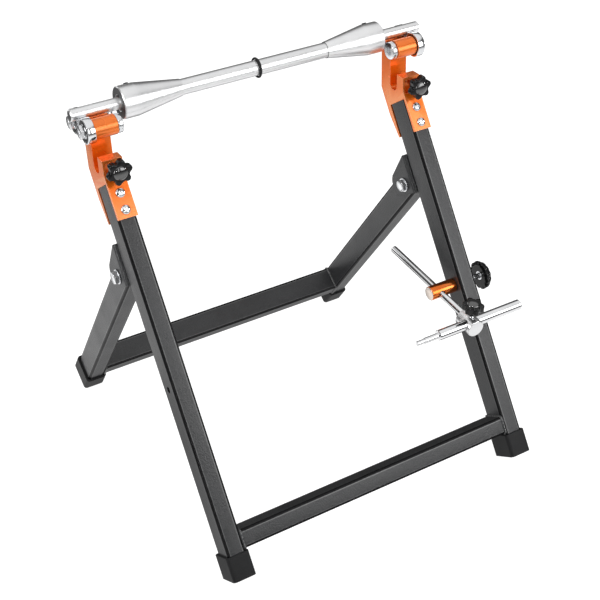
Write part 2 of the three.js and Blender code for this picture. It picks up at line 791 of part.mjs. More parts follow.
function indicatorKnob() {
  const outline = wavedOutline(indicatorKnobRadius, indicatorKnobValley, indicatorKnobFlutes, fluteSteps);
  const blank = prism(outline, indicatorKnobThickness).rotateY(Math.PI / 2).translate(knobInnerX, 0, 0);
  const rim = turnedX([
    [0, knobInnerX], [indicatorKnobRadius, knobInnerX],
    [indicatorKnobRadius, knobInnerX + indicatorKnobRim],
    [indicatorKnobFace, knobOuterX], [0, knobOuterX],
  ], largeSteps);
  const soft = toSolid(blank).intersect(toSolid(rim));
  const insertEnd = knobInnerX + insertLength + seatGap;
  const insertBore = turnedX(bar(insertRadius + seatGap, knobInnerX - cutOverrun, insertEnd), smallSteps);
  const studRadius = indicatorStudRadius + turnGap;
  const studBore = turnedX(bar(studRadius, knobInnerX, knobOuterX + cutOverrun), smallSteps);
  return toGeometry(soft.subtract(toSolid(insertBore)).subtract(toSolid(studBore)));
}

function indicatorInsert() {
  const bore = indicatorStudRadius + turnGap;
  return turnedX(washer(bore, insertRadius, knobInnerX, knobInnerX + insertLength), smallSteps);
}

// The rod and what it carries, in a frame that slopes with the rod: -Y is its front.
const pointerKnobTop = blockRadius + pointerKnobRise + knobHeight(pointerKnobSize);

function indicatorRod() {
  return turnedY(softBar(rodRadius, -rodFront, rodBack, rodChamfer), smallSteps).translate(rodX, 0, 0);
}

function pointerBlock() {
  const back = -blockFront + blockLength;
  const body = turnedY(softBar(blockRadius, -blockFront, back, blockEdge), largeSteps);
  body.translate(blockX, 0, 0);
  const rodBore = turnedY(bar(rodRadius + seatGap, -rodFront - seatGap, back + cutOverrun), smallSteps);
  rodBore.translate(rodX, 0, 0);
  const span = blockRadius + cutOverrun;
  const pointerBore = turnedX(bar(pointerRadius + turnGap, -span, span), mediumSteps);
  pointerBore.translate(blockX, pointerY, pointerLift);
  const studBore = turnedZ(bar(pointerStudRadius + turnGap, 0, span), smallSteps);
  studBore.translate(blockX, pointerY, 0);
  return shaped(body, [], [rodBore, pointerBore, studBore]);
}

function pointerRod() {
  return turnedX([
    [0, -pointerTipReach], [pointerTipRadius, -pointerTipReach],
    [pointerTipRadius, -pointerTipStepReach], [pointerNeckRadius, -pointerTipStepReach],
    [pointerNeckRadius, -pointerNeckReach], [pointerRadius - pointerChamfer, -pointerNeckReach],
    [pointerRadius, -pointerNeckReach + pointerChamfer],
    [pointerRadius, pointerOuterReach - pointerChamfer],
    [pointerRadius - pointerChamfer, pointerOuterReach], [0, pointerOuterReach],
  ], mediumSteps).translate(blockX, pointerY, pointerLift);
}

function pointerStud() {
  const low = pointerLift + pointerRadius + seatGap;
  const high = blockRadius + pointerKnobRise + pointerKnobGrip;
  return turnedZ(bar(pointerStudRadius, low, high), smallSteps).translate(blockX, pointerY, 0);
}

function pointerKnob() {
  return starKnob(pointerKnobSize).translate(blockX, pointerY, pointerKnobTop);
}

// The front frame's own frame: x across, -y out of its front, z up the legs.
function frontFrame() {
  const frame = new THREE.Group();
  frame.position.set(0, 0, frontBaseZ);
  frame.rotation.x = -frontLean;
  for (const [side, sign] of sides) {
    const column = new THREE.Group();
    column.position.x = sign * legX;
    column.add(mesh(`front_${side}_leg`, frontLeg(), powderGrey()));
    column.add(mesh(`front_${side}_foot_cap`, footCap(frontLean, 1), capBlack()));
    column.add(mesh(`${side}_hinge_bracket`, hingeBracket(), powderGrey()));
    for (const [level, place] of headScrewLevels) {
      const screw = mesh(`${side}_${level}_head_screw`, headScrew(), zinc());
      screw.position.z = frontLegLength - place;
      column.add(screw);
    }
    frame.add(column);
  }
  const cross = mesh('front_crossbar', crossbar(), powderGrey());
  cross.position.z = capHeight + frontCrossbarGap + halfWidth;
  frame.add(cross);
  return frame;
}

// The rear frame's own frame: origin at the pivot, y out of its back, z up the legs.
function rearFrame() {
  const frame = new THREE.Group();
  frame.position.set(0, pivotY, pivotZ);
  frame.rotation.x = rearLean;
  for (const [side, sign] of sides) {
    const column = new THREE.Group();
    column.position.x = sign * legX;
    column.add(mesh(`rear_${side}_leg`, rearLeg(), powderGrey()));
    const cap = mesh(`rear_${side}_foot_cap`, footCap(rearLean, -1), capBlack());
    cap.position.z = -rearFootDrop;
    column.add(cap);
    frame.add(column);
  }
  const cross = mesh('rear_crossbar', crossbar(), powderGrey());
  cross.position.z = -rearFootDrop + capHeight + rearCrossbarGap + halfWidth;
  frame.add(cross);
  return frame;
}

function pivotHardware() {
  const hardware = new THREE.Group();
  hardware.position.set(0, pivotY, pivotZ);
  for (const [side, sign] of sides) {
    const bolt = mesh(`${side}_pivot_bolt`, pivotBolt(), zinc());
    const nut = mesh(`${side}_pivot_nut`, pivotNut(), zinc());
    for (const piece of [bolt, nut]) piece.position.x = sign * legX;
    hardware.add(bolt, nut);
  }
  return hardware;
}

function heads() {
  const all = new THREE.Group();
  all.position.set(0, topY, topZ);
  for (const [side, sign] of sides) {
    const head = new THREE.Group();
    head.position.x = sign * legX;
    head.add(mesh(`${side}_head_bracket`, headBracket(sign), headOrange()));
    head.add(mesh(`${side}_clamp_stud`, clampStud(), zinc()));
    head.add(mesh(`${side}_clamp_knob`, clampKnob(), knobBlack()));
    for (const [row, y] of rollerRows) {
      const screwShape = closed(rollerScrew().scale(sign, 1, 1));
      const screw = mesh(`${side}_${row}_roller_screw`, screwShape, zinc());
      screw.position.set(0, y, bossHeight);
      const bearing = new THREE.Group();
      bearing.position.set(sign * bearingMiddle, y, bossHeight);
      bearing.add(mesh(`${side}_${row}_inner_ring`, innerRing(), bearingSteel()));
      bearing.add(mesh(`${side}_${row}_outer_ring`, outerRing(), bearingSteel()));
      bearing.add(mesh(`${side}_${row}_ball_cage`, ballCage(), chrome()));
      head.add(screw, bearing);
    }
    all.add(head);
  }
  return all;
}

function shaftSet() {
  const shaft = new THREE.Group();
  shaft.position.set(0, shaftY, shaftZ);
  for (const [side, sign] of sides) {
    const mirrored = (geometry) => closed(geometry.scale(sign, 1, 1));
    shaft.add(mesh(`${side}_shaft_half`, mirrored(shaftHalf()), aluminium()));
    shaft.add(mesh(`${side}_cone`, mirrored(cone()), aluminium()));
    shaft.add(mesh(`${side}_cone_screw`, mirrored(coneScrew()), knobBlack()));
  }
  const studHalf = joiningStudLength / 2;
  const stud = turnedX(bar(joiningStudRadius, -studHalf, studHalf), smallSteps);
  shaft.add(mesh('shaft_joining_stud', stud, zinc()));
  const ring = mesh('shaft_ring', shaftRing(), ringRubber());
  ring.position.x = ringPlace;
  shaft.add(ring);
  return shaft;
}

function indicator() {
  const set = new THREE.Group();
  set.position.set(0, indicatorY, indicatorZ);
  set.add(mesh('indicator_boss', indicatorBoss(), bossOrange()));
  set.add(mesh('indicator_stud', indicatorStud(), zinc()));
  set.add(mesh('indicator_knob', indicatorKnob(), knobBlack()));
  set.add(mesh('indicator_insert', indicatorInsert(), zinc()));
  const arm = new THREE.Group();
  arm.rotation.x = rodSlope;
  arm.add(mesh('indicator_rod', indicatorRod(), chrome()));
  arm.add(mesh('pointer_block', pointerBlock(), aluminium()));
  arm.add(mesh('pointer_rod', pointerRod(), chrome()));
  arm.add(mesh('pointer_stud', pointerStud(), zinc()));
  arm.add(mesh('pointer_knob', pointerKnob(), knobBlack()));
  set.add(arm);
  return set;
}

const stand = new THREE.Group();
stand.position.set(-(boxLeft + boxRight) / 2, -(boxFront + boxBack) / 2, 0);
stand.add(frontFrame(), rearFrame(), pivotHardware(), heads(), shaftSet(), indicator());

const group = new THREE.Group();
group.add(stand);
export default group;
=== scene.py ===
from math import acos, ceil, copysign, cos, dist, pi, radians, sin, sqrt, tan

import bmesh
import bpy
from mathutils import Matrix, Vector


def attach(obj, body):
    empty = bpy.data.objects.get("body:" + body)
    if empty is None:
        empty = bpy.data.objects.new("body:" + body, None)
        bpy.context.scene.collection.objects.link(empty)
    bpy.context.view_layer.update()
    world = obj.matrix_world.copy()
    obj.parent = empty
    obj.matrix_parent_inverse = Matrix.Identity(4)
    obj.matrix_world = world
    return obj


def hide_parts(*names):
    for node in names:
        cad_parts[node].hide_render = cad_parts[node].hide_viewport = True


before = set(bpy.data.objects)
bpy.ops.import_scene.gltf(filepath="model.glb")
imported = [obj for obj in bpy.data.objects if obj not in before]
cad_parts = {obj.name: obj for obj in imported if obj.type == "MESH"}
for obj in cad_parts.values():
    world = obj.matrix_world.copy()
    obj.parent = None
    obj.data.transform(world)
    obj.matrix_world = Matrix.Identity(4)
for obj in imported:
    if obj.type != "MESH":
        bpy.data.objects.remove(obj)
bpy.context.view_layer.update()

# Everything below is in millimetres until a piece is made
MM = 0.001
MERGE = 0.002

# Angles
FRONT_LEAN = radians(32.7)
REAR_LEAN = radians(37.93)
ROD_SLOPE = radians(6.3)
CONE_SCREW_TILT = radians(-28)
SHARP_ANGLE = radians(32)
KNOB_SHARP, FLUTE_SHARP, WELD_SHARP = radians(60), radians(50), radians(80)
CLAMP_TURN, POINTER_KNOB_TURN = 0.26, 0.3
QUARTER = pi / 2

# Steps round curves
ROUND = 96
SMALL_ROUND = 48
CORNER = 8
FINE_CORNER = 3
HEX = 6

# Clearances
SEAT_GAP = 0.3
TURN_GAP = 0.4
OVERRUN = 2

# Tube and frames
TUBE_WIDTH, TUBE_DEPTH, TUBE_WALL, TUBE_CORNER = 20, 30, 1.5, 2.5
TUBE_EASE, EASE, EASE_POWER, EASED_STEPS = 3.6, 5, 3, 12
# FLAT_LEAN and CORNER_LEAN bound the painted highlight and the painted shade round tube corners
FLAT_LEAN, CORNER_LEAN, END_FACING = 0.03, 0.15, 0.95
WELD_RADIUS, WELD_STEP, WELD_SIDES = 1.5, 1.1, 8
WELD_RIPPLE, WELD_SHORT_WAVE, WELD_LONG_WAVE = 0.16, 1.7, 0.37
LEG_SPACING, LEG_LENGTH, PIVOT_BELOW_TOP = 350, 413.7, 88.8
FRONT_CROSS_GAP, REAR_CROSS_GAP = 1.5, 2.8
CAP_WALL, CAP_FLOOR, CAP_HEIGHT, CAP_CORNER, CAP_EDGE, FLAT_DEPTH = 2.5, 3, 26, 4, 0.7, 0.8

# Hinge brackets
HINGE_WALL, HINGE_SIDE_GAP, HINGE_FOLD_GAP = 2.5, 0.5, 0.6
HINGE_BEND, HINGE_FILLET, HINGE_EDGE = 4.5, 0.6, 0.5
EAR_TOP, EAR_BOTTOM, EAR_TAIL_RISE, EAR_TAIL_DROP = 32, 12, 9, 9
EAR_UPPER, EAR_LOWER, EAR_CORNER = 24.5, 26, 5
BOLT_RADIUS, BOLT_ACROSS, BOLT_HEAD, BOLT_CORNER, BOLT_TIP_EDGE = 4, 13, 4.6, 0.8, 0.6
FLANGE_RADIUS, FLANGE_THICKNESS, FLANGE_EDGE = 8, 1.5, 0.4
NUT_HEIGHT, BOLT_END, BOLT_EDGE = 6.5, 2, 0.15

# Heads
HEAD_WIDTH, HEAD_EDGE, TAB_LENGTH, FRONT_TAB, BACK_TAB = 21, 0.9, 37, 3.4, 2.4
BULGE, BULGE_LOWER, BULGE_UPPER = 6.8, 10, 9
HEAD_FRONT, SHOULDER_HEIGHT, LEDGE_HEIGHT = 11, 22, 32
SLOT_FRONT, SLOT_WIDTH, SLOT_FLOOR = 1, 13, 12
HEAD_BACK, HEAD_BACK_FOOT = 31, 8
POCKET_FLOOR, POCKET_TOP, POCKET_DEPTH, POCKET_SIDE = 10, 29, 6.5, 2.25
POCKET_CORNER, POCKET_STEPS = 1.2, 4
BOSS_RADIUS, BOSS_HEIGHT, BOSS_FRONT, BOSS_SPACING = 10.2, 60, 4.6, 27
BOSS_PROUD, BOSS_GUSSET, PAD_RADIUS, PAD_HEIGHT = 2.3, 8, 7.2, 0.4
SCREW_RADIUS, SCREW_HEAD, SCREW_HEIGHT, SCREW_LENGTH, SCREW_EDGE = 2.5, 5, 2.8, 7, 0.12
RECESS_REACH, RECESS_HALF, RECESS_DEPTH = 2.7, 0.55, 1.5
# Each head screw's name, how far it is below the top of the leg, and the turn of its recess
HEAD_SCREWS = (("upper", 11.7, 0.4), ("lower", 28.7, 0.9))

# Bearings
BORE, BEARING_RADIUS, BEARING_WIDTH = 5, 13, 8
INNER_LAND, OUTER_LAND, BEARING_EDGE = 7.4, 11.3, 0.5
RACE_EDGE, INNER_FIT, INNER_EDGE, LAND_EDGE = 0.15, 0.15, 0.3, 0.2
SEAL_DEPTH, SEAL_THICKNESS, SEAL_GAP = 0.35, 0.8, 0.15
SEAL_RIM_RUN, SEAL_RIM_DROP = 0.5, 0.25
SEAL_STEP_OUTER, SEAL_STEP_INNER, SEAL_STEP_DROP = 1.5, 1.1, 0.3
SEAL_LIP_RUN, SEAL_LIP_DROP, SEAL_LIP_EDGE = 0.3, 0.2, 0.4
ROLLER_HEAD_RADIUS, ROLLER_HEAD_HEIGHT, ROLLER_HEAD_EDGE = 9.6, 6, 1.2
SOCKET_RADIUS, SOCKET_DEPTH, SHANK_LAP = 4.4, 3.5, 0.2
ROLLER_NUT_ACROSS, ROLLER_NUT_HEIGHT, ROLLER_NUT_CORNER = 13, 4.5, 0.7
ROLLER_END, ROLLER_THREAD = 0.6, 4
STUD_EDGE, SMALL_STUD_EDGE = 0.5, 0.4

# Shaft
SHAFT_LENGTH, JOURNAL_RADIUS, SHAFT_RADIUS, SHAFT_STEP = 403, 6, 8, 140
SHAFT_CHAMFER, JOINT_EDGE, STEP_EDGE = 1, 0.3, 0.4
JOIN_RADIUS, JOIN_REACH = 5, 20
RING_SECTION, RING_PLACE, RING_STEPS = 1.25, 2.5, 24
CONE_OUTER, CONE_SHOULDER, CONE_INNER = 150, 133, 84
CONE_RADIUS, CONE_TIP, CONE_BORE_FIT, CONE_CHAMFER, CONE_BORE_EDGE = 16.5, 8.7, 0.12, 0.8, 0.5
SHOULDER_DROP, SHOULDER_RUN = 0.15, 0.6
CONE_SCREW_PLACE, CONE_SCREW_RADIUS, CONE_SCREW_PROUD = 138, 2.5, 0.9
CONE_KEY_ACROSS, CONE_KEY_DEPTH = 2.5, 1.8

# Clamp knobs
CLAMP_HEIGHT, CLAMP_STUD_RADIUS, CLAMP_STUD_SHY, CLAMP_FRONT = 25, 3, 0.5, 33
STAR = dict(radius=13.4, waist=10.1, thickness=8, dome=2.5, hub_radius=6, hub_length=6, dome_radius=7.5)
STAR_GRIP, STAR_LOBES, LOBE_STEPS, LOBE_POWER = 7, 6, 16, 0.8
STAR_EDGE, STAR_EDGE_STEPS = 1.6, 5
FLARE_START, FLARE_HEIGHT, FLARE_END = 0.4, 0.6, 1.2
DOME_SKIRT, DOME_LIFT, DOME_STEPS, DOME_TIP = 0.8, 0.05, 6, 0.01

# Run-out pointer
IND_ALONG, IND_BOSS_RADIUS, IND_BOSS_LENGTH, IND_BOSS_CHAMFER = 202.5, 8, 32.7, 1
IND_STUD_RADIUS, IND_STUD_LAP, IND_STUD_END = 3, 1, 22.5
IND_KNOB_GAP, IND_KNOB_THICKNESS = 15.3, 8
IND_FLUTES, FLUTE_DEPTH, FLUTE_STEPS, FLUTE_POWER = 12, 1.5, 24, 0.45
# Rings of the fluted knob: radius, distance inward from a face of the knob, share of the flutes' depth
KNOB_BACK_RINGS = (
    (5.4, 1.5, 0), (5.4, 0, 0), (10.5, 0, 0), (15.7, 0, 1), (16.3, 0.25, 1), (16.5, 0.9, 1), (16.5, 3, 1),
)
KNOB_FACE_RINGS = (
    (16, 4, 1), (14.9, 2, 0.9), (13.2, 0.5, 0.4), (11.9, 0, 0), (9, 0, 0),
    (8.6, 0.5, 0), (4.2, 0.5, 0), (3.4, 0.5, 0), (3.4, 2.5, 0),
)
INSERT_RADIUS, INSERT_LENGTH = 5, 6
ROD_RADIUS, ROD_PLACE, BLOCK_OFFSET, ROD_STANDOFF, ROD_BACK, ROD_CHAMFER = 4, 20.8, 3.1, 1.2, 88, 0.6
BLOCK_RADIUS, BLOCK_LENGTH, BLOCK_FRONT, BLOCK_EDGE, BLOCK_BEVEL = 9.8, 24, 73.5, 0.8, 0.25
POINTER_INSET, POINTER_LIFT, POINTER_RADIUS, NECK_RADIUS, TIP_RADIUS = 9.7, 1.5, 5.75, 3.1, 2.5
OUTER_REACH, NECK_REACH, TIP_STEP, TIP_REACH = 65.3, 43, 61, 70.3
POINTER_CHAMFER, NECK_EDGE, TIP_EDGE = 0.6, 0.2, 0.3
SMALL_STAR = dict(radius=11.8, waist=9, thickness=8.6, dome=2.4, hub_radius=5, hub_length=5, dome_radius=7)
SMALL_STAR_RISE, POINTER_STUD_RADIUS, POINTER_KNOB_GRIP = 4.6, 2.5, 6

# Finishes, with noise scales per metre and depths in metres
NOISE_LOW, NOISE_HIGH = 0.3, 0.7
SPECKLE_RATIO, SPECKLE_DETAIL, SPECKLE_SHARE = 2, 2, 0.6
CLOUD_SCALE, METAL_CLOUD_SCALE, DETAIL, CLOUD_SHARE = 28, 45, 3, 0.4
SMOOTHER, ROUGHER, METAL_ROUGHER, LINE_ROUGHNESS = 0.05, 0.06, 0.07, 0.6
COAT_ROUGHNESS, PEEL_DEPTH, LINE_DEPTH = 0.12, 0.0002, 0.0001
# Where the painted edge highlight starts and ends in pointiness, and how strong it is
HIGHLIGHT_START, HIGHLIGHT_END, HIGHLIGHT_AMOUNT = 0.52, 0.6, 0.5

# Light, in metres and watts; the sky's levels go from straight below to straight above
SKY_LEVELS = ((-1.0, 1.0), (-0.5, 0.95), (-0.22, 0.08), (0.25, 0.06), (0.58, 0.12), (0.72, 0.8), (1.0, 0.9))
REAR_AIM, REAR_SPAN, REAR_LEVEL = (0.2, 0.78, -0.59), (0.78, 0.93), 0.1
STUDIO_REACH, STUDIO_HEIGHT, STUDIO_FLAT, STUDIO_TONE, STUDIO_GLOW = 9, 7, 0.6, 0.3, 0.97
FLOOR_ROUGHNESS, FLOOR_GLOSS = 0.9, 0.1
LIGHTS = (
    # name, place, the way it faces, size, power
    ("front_softbox", (0.75, -1.2, 0.765), (0, 1, 0), (1.2, 0.9), 12),
    ("front_strip", (-0.2, -1.2, 0.8), (0, 1, 0), (0.2, 0.9), 1.5),
    ("side_softbox", (-1.5, 0.1, 0.7), (1, -0.1, -0.3), (0.8, 0.8), 11),
    ("back_softbox", (-0.4, 1.7, 0.9), (0.1, -1, -0.3), (1.4, 0.8), 4),
    ("spark", (-0.45, -1.0, 1.5), (0.4, 0.8, -1.0), (0.06, 0.06), 1.6),
    ("rear_glow", (-0.25, 0.62, -0.1), (0.3, -0.5, 0.8), (0.7, 0.35), 0.4),
    ("left_spark", (-0.9, -1.5, 0.6), (0.5, 0.85, -0.1), (0.08, 0.08), 3),
    ("right_spark", (1.5, -0.7, 0.7), (-0.9, 0.4, -0.2), (0.08, 0.08), 3),
)

# Camera
CAMERA_ROUND, CAMERA_DOWN, CAMERA_ROLL = radians(29.19), radians(33.67), radians(-2.25)
CAMERA_DISTANCE, CAMERA_AIM = 1070.63, (-92.43, 0, 314.296)
CAMERA_LENS, CAMERA_SENSOR = 71.6046, 36

# Places that follow
HALF_DEPTH, HALF_WIDTH = TUBE_DEPTH / 2, TUBE_WIDTH / 2
SEAT = HALF_DEPTH + SEAT_GAP
CAP_DEPTH = TUBE_DEPTH + 2 * (CAP_WALL + SEAT_GAP)
CAP_WIDTH = TUBE_WIDTH + 2 * (CAP_WALL + SEAT_GAP)
LEG_X = LEG_SPACING / 2
LEG_INSIDE = LEG_X - HALF_WIDTH
FRONT_BASE = CAP_DEPTH / 2 * sin(FRONT_LEAN) - FLAT_DEPTH
PIVOT_BEHIND = 2 * HALF_DEPTH + SEAT_GAP + HINGE_WALL + HINGE_FOLD_GAP
PIVOT_ALONG = LEG_LENGTH - PIVOT_BELOW_TOP
PIVOT_Y = PIVOT_ALONG * sin(FRONT_LEAN) + PIVOT_BEHIND * cos(FRONT_LEAN)
PIVOT_Z = FRONT_BASE + PIVOT_ALONG * cos(FRONT_LEAN) - PIVOT_BEHIND * sin(FRONT_LEAN)
REAR_DROP = (PIVOT_Z + FLAT_DEPTH - CAP_DEPTH / 2 * sin(REAR_LEAN)) / cos(REAR_LEAN)
BRACKET_HALF = HALF_WIDTH + HINGE_SIDE_GAP + HINGE_WALL
TOP_Y = LEG_LENGTH * sin(FRONT_LEAN)
TOP_Z = FRONT_BASE + LEG_LENGTH * cos(FRONT_LEAN)
SLOT_BACK = SLOT_FRONT + SLOT_WIDTH
BOSS_BACK = BOSS_FRONT + BOSS_SPACING
SHAFT_Y = TOP_Y + BOSS_FRONT + BOSS_SPACING / 2
SHAFT_RISE = sqrt((BEARING_RADIUS + JOURNAL_RADIUS) ** 2 - (BOSS_SPACING / 2) ** 2)
SHAFT_Z = TOP_Z + BOSS_HEIGHT + SHAFT_RISE
BEARING_START = HEAD_WIDTH / 2 + PAD_HEIGHT + SEAT_GAP
BEARING_END = BEARING_START + BEARING_WIDTH
IND_Y = IND_ALONG * sin(FRONT_LEAN)
IND_Z = FRONT_BASE + IND_ALONG * cos(FRONT_LEAN)
IND_OUTER = LEG_X + HALF_WIDTH
KNOB_INNER = IND_OUTER + IND_KNOB_GAP
KNOB_OUTER = KNOB_INNER + IND_KNOB_THICKNESS
ROD_X = LEG_INSIDE - ROD_PLACE
BLOCK_X = ROD_X - BLOCK_OFFSET
POINTER_Y = -BLOCK_FRONT + POINTER_INSET
ROD_FRONT = -POINTER_Y - POINTER_RADIUS - ROD_STANDOFF
REAR_FOOT_Y = PIVOT_Y + REAR_DROP * sin(REAR_LEAN)
FRONT_EDGE_Y = -CAP_DEPTH / 2 * cos(FRONT_LEAN)
REAR_EDGE_Y = REAR_FOOT_Y + CAP_DEPTH / 2 * cos(REAR_LEAN)
BOX_X = (-SHAFT_LENGTH / 2 + KNOB_OUTER) / 2
BOX_Y = (FRONT_EDGE_Y + REAR_EDGE_Y) / 2


def shift(x=0, y=0, z=0):
    return Matrix.Translation((x, y, z))


def turn(angle, axis):
    return Matrix.Rotation(angle, 4, axis)


def mirrored(sign):
    """Swaps left and right where sign is -1."""
    return Matrix.Scale(sign, 4, (1, 0, 0))


STAND = shift(-BOX_X, -BOX_Y, 0)
FRONT = STAND @ shift(0, 0, FRONT_BASE) @ turn(-FRONT_LEAN, "X")
PIVOT = STAND @ shift(0, PIVOT_Y, PIVOT_Z)
REAR = PIVOT @ turn(REAR_LEAN, "X")
SHAFT = STAND @ shift(0, SHAFT_Y, SHAFT_Z)
INDICATOR = STAND @ shift(0, IND_Y, IND_Z)
ARM = INDICATOR @ turn(ROD_SLOPE, "X")
CONE_SCREW_SPOT = shift(CONE_SCREW_PLACE) @ turn(CONE_SCREW_TILT, "X")
SIDES = (("left", -1), ("right", 1))
ROWS = (("front", BOSS_FRONT), ("back", BOSS_BACK))
ALONG_X = turn(QUARTER, "Y")
ALONG_Y = turn(-QUARTER, "X")
SIDE_VIEW = Matrix(((0, 0, 1, 0), (1, 0, 0, 0), (0, 1, 0, 0), (0, 0, 0, 1)))


# Outlines and profiles
def arc(cx, cy, radius, start, end, steps=CORNER):
    angles = [start + (end - start) * i / steps for i in range(steps + 1)]
    return [(cx + radius * cos(angle), cy + radius * sin(angle)) for angle in angles]


def circle(steps):
    """The angle of each step once round."""
    return [2 * pi * i / steps for i in range(steps)]


def curve(start, middle, end, steps=CORNER):
    """A quadratic curve, without its first point."""
    points = []
    for i in range(1, steps + 1):
        t = i / steps
        a, b, c = (1 - t) ** 2, 2 * t * (1 - t), t * t
        points.append(tuple(a * p + b * q + c * r for p, q, r in zip(start, middle, end)))
    return points


def rounded(width, depth, radius, steps=CORNER):
    x, y = width / 2 - radius, depth / 2 - radius
    points = []
    for number, (cx, cy) in enumerate(((x, -y), (x, y), (-x, y), (-x, -y))):
        points += arc(cx, cy, radius, (number - 1) * QUARTER, number * QUARTER, steps)
    return points


def bar(radius, low, high, edge=0.0):
    """Profile of a round bar, with small rounded edges where edge is given."""
    if not edge:
        return [(0, low), (radius, low), (radius, high), (0, high)]
    inner = radius - edge
    points = [(0, low)] + arc(inner, low + edge, edge, -QUARTER, 0, FINE_CORNER)
    return points + arc(inner, high - edge, edge, 0, QUARTER, FINE_CORNER) + [(0, high)]


# Shapes, as bmeshes
def placed(shape, matrix):
    bmesh.ops.transform(shape, matrix=matrix, verts=shape.verts)
    if matrix.determinant() < 0:
        bmesh.ops.reverse_faces(shape, faces=shape.faces)
    return shape


def lathe(profile, steps=ROUND):
    """A solid of revolution about Z from [radius, place] points, whose ends lie on the axis or meet."""
    shape = bmesh.new()
    angles = circle(steps)
    closed = profile[0] == profile[-1]
    loops = []
    for radius, place in profile[:-1] if closed else profile:
        if radius == 0:
            loops.append([shape.verts.new((0, 0, place))])
            continue
        loops.append([
            shape.verts.new((radius * cos(angle), radius * sin(angle), place)) for angle in angles
        ])
    pairs = list(zip(loops, loops[1:]))
    if closed:
        pairs.append((loops[-1], loops[0]))
    for low, high in pairs:
        for i in range(steps):
            j = (i + 1) % steps
            if len(low) == 1:
                shape.faces.new((low[0], high[j], high[i]))
            elif len(high) == 1:
                shape.faces.new((low[i], low[j], high[0]))
            else:
                shape.faces.new((low[i], low[j], high[j], high[i]))
    bmesh.ops.recalc_face_normals(shape, faces=shape.faces)
    return shape


def lathe_x(profile, steps=ROUND):
    return placed(lathe(profile, steps), ALONG_X)


def rod_z(radius, low, high, edge=0.0):
    return lathe(bar(radius, low, high, edge), SMALL_ROUND)


def rod_x(*sizes):
    return placed(rod_z(*sizes), ALONG_X)


def rod_y(*sizes):
    return placed(rod_z(*sizes), ALONG_Y)


def stacked(rings, closed=False):
    """A solid skinned over rings of as many points each; the last ring meets the first where closed."""
    shape = bmesh.new()
    loops = [[shape.verts.new(point) for point in ring] for ring in rings]
    if not closed:
        shape.faces.new(list(reversed(loops[0])))
    for near, far in zip(loops, loops[1:] + loops[:1] if closed else loops[1:]):
        for i in range(len(near)):
            j = (i + 1) % len(near)
            shape.faces.new((near[i], near[j], far[j], far[i]))
    if not closed:
        shape.faces.new(loops[-1])
    bmesh.ops.recalc_face_normals(shape, faces=shape.faces)
    return shape


def prism(outline, height, hole=None):
    """A flat outline of (x, y) points made solid from z = 0 to height; a hole has as many points."""
    rings = [[(x, y, z) for x, y in outline] for z in (0, height)]
    if hole:
        rings += [[(x, y, z) for x, y in hole] for z in (height, 0)]
    return stacked(rings, closed=bool(hole))


def side_plate(outline, width):
    """An outline in the side view (Y, Z), width wide along X about x = 0."""
    return placed(placed(prism(outline, width), SIDE_VIEW), shift(-width / 2))


def hexagon(across, low, high, edge=0.0):
    """A hexagonal nut or head about Z, its corners taken back by a cone at both ends when edge is given."""
    corner = across / sqrt(3)
    solid = placed(prism(arc(0, 0, corner, 0, 2 * pi, HEX)[:-1], high - low), shift(0, 0, low))
    if not edge:
        return solid
    face = corner - edge * 2
    soft = [(0, low), (face, low), (corner, low + edge), (corner, high - edge), (face, high), (0, high)]
    return combine(solid, [(lathe(soft), "INTERSECT")])


def mesh_of(shape, name="scratch"):
    mesh = bpy.data.meshes.new(name)
    shape.to_mesh(mesh)
    shape.free()
    return mesh


def new_object(data, name="scratch"):
    thing = bpy.data.objects.new(name, data)
    bpy.context.scene.collection.objects.link(thing)
    return thing


def combine(base, steps):
    """base, joined with or cut by each (shape, operation) in turn."""
    thing = new_object(mesh_of(base))
    others = []
    for shape, operation in steps:
        other = new_object(mesh_of(shape))
        modifier = thing.modifiers.new("step", "BOOLEAN")
        modifier.operation = operation
        modifier.solver = "EXACT"
        modifier.object = other
        others.append(other)
    bpy.context.view_layer.update()
    result = bmesh.new()
    result.from_object(thing, bpy.context.evaluated_depsgraph_get())
    for used in [thing] + others:
        mesh = used.data
        bpy.data.objects.remove(used)
        bpy.data.meshes.remove(mesh)
    return result


def cut(base, *holes):
    return combine(base, [(hole, "DIFFERENCE") for hole in holes])


def joined(shapes):
    whole = bmesh.new()
    for shape in shapes:
        mesh = mesh_of(shape)
        whole.from_mesh(mesh)
        bpy.data.meshes.remove(mesh)
    return whole


# Materials
def new_material(name):
    material = bpy.data.materials.new(name)
    material.use_nodes = True
    tree = material.node_tree
    return material, tree, tree.nodes["Principled BSDF"]


def connect(tree, node, inputs):
    """Gives each named input its value, or a link where it gets a socket."""
    for name, source in inputs.items():
        if isinstance(source, bpy.types.NodeSocket):
            tree.links.new(source, node.inputs[name])
        else:
            node.inputs[name].default_value = source


def add_node(tree, kind, inputs):
    node = tree.nodes.new("ShaderNode" + kind)
    connect(tree, node, inputs)
    return node


def product(tree, source, factor, added=0):
    """The value of source times factor, and added, as a socket."""
    node = tree.nodes.new("ShaderNodeMath")
    node.operation = "MULTIPLY_ADD"
    connect(tree, node, {0: source, 1: factor, 2: added})
    return node.outputs[0]


def noise(tree, scale, detail, roughness=0.5, stretch=(1, 1, 1)):
    place = tree.nodes.new("ShaderNodeTexCoord").outputs["Object"]
    vector = add_node(tree, "Mapping", {"Vector": place, "Scale": stretch}).outputs["Vector"]
    inputs = {"Vector": vector, "Scale": scale, "Detail": detail, "Roughness": roughness}
    return add_node(tree, "TexNoise", inputs).outputs["Fac"]


def ramp(tree, source, low, high):
    node = add_node(tree, "ValToRGB", {"Fac": source})
    first, last = node.color_ramp.elements
    first.position, first.color = NOISE_LOW, (*low, 1)
    last.position, last.color = NOISE_HIGH, (*high, 1)
    return node.outputs["Color"]


def span(tree, source, low, high, start=NOISE_LOW, end=NOISE_HIGH):
    inputs = {"Value": source, "From Min": start, "From Max": end, "To Min": low, "To Max": high}
    return add_node(tree, "MapRange", inputs).outputs["Result"]


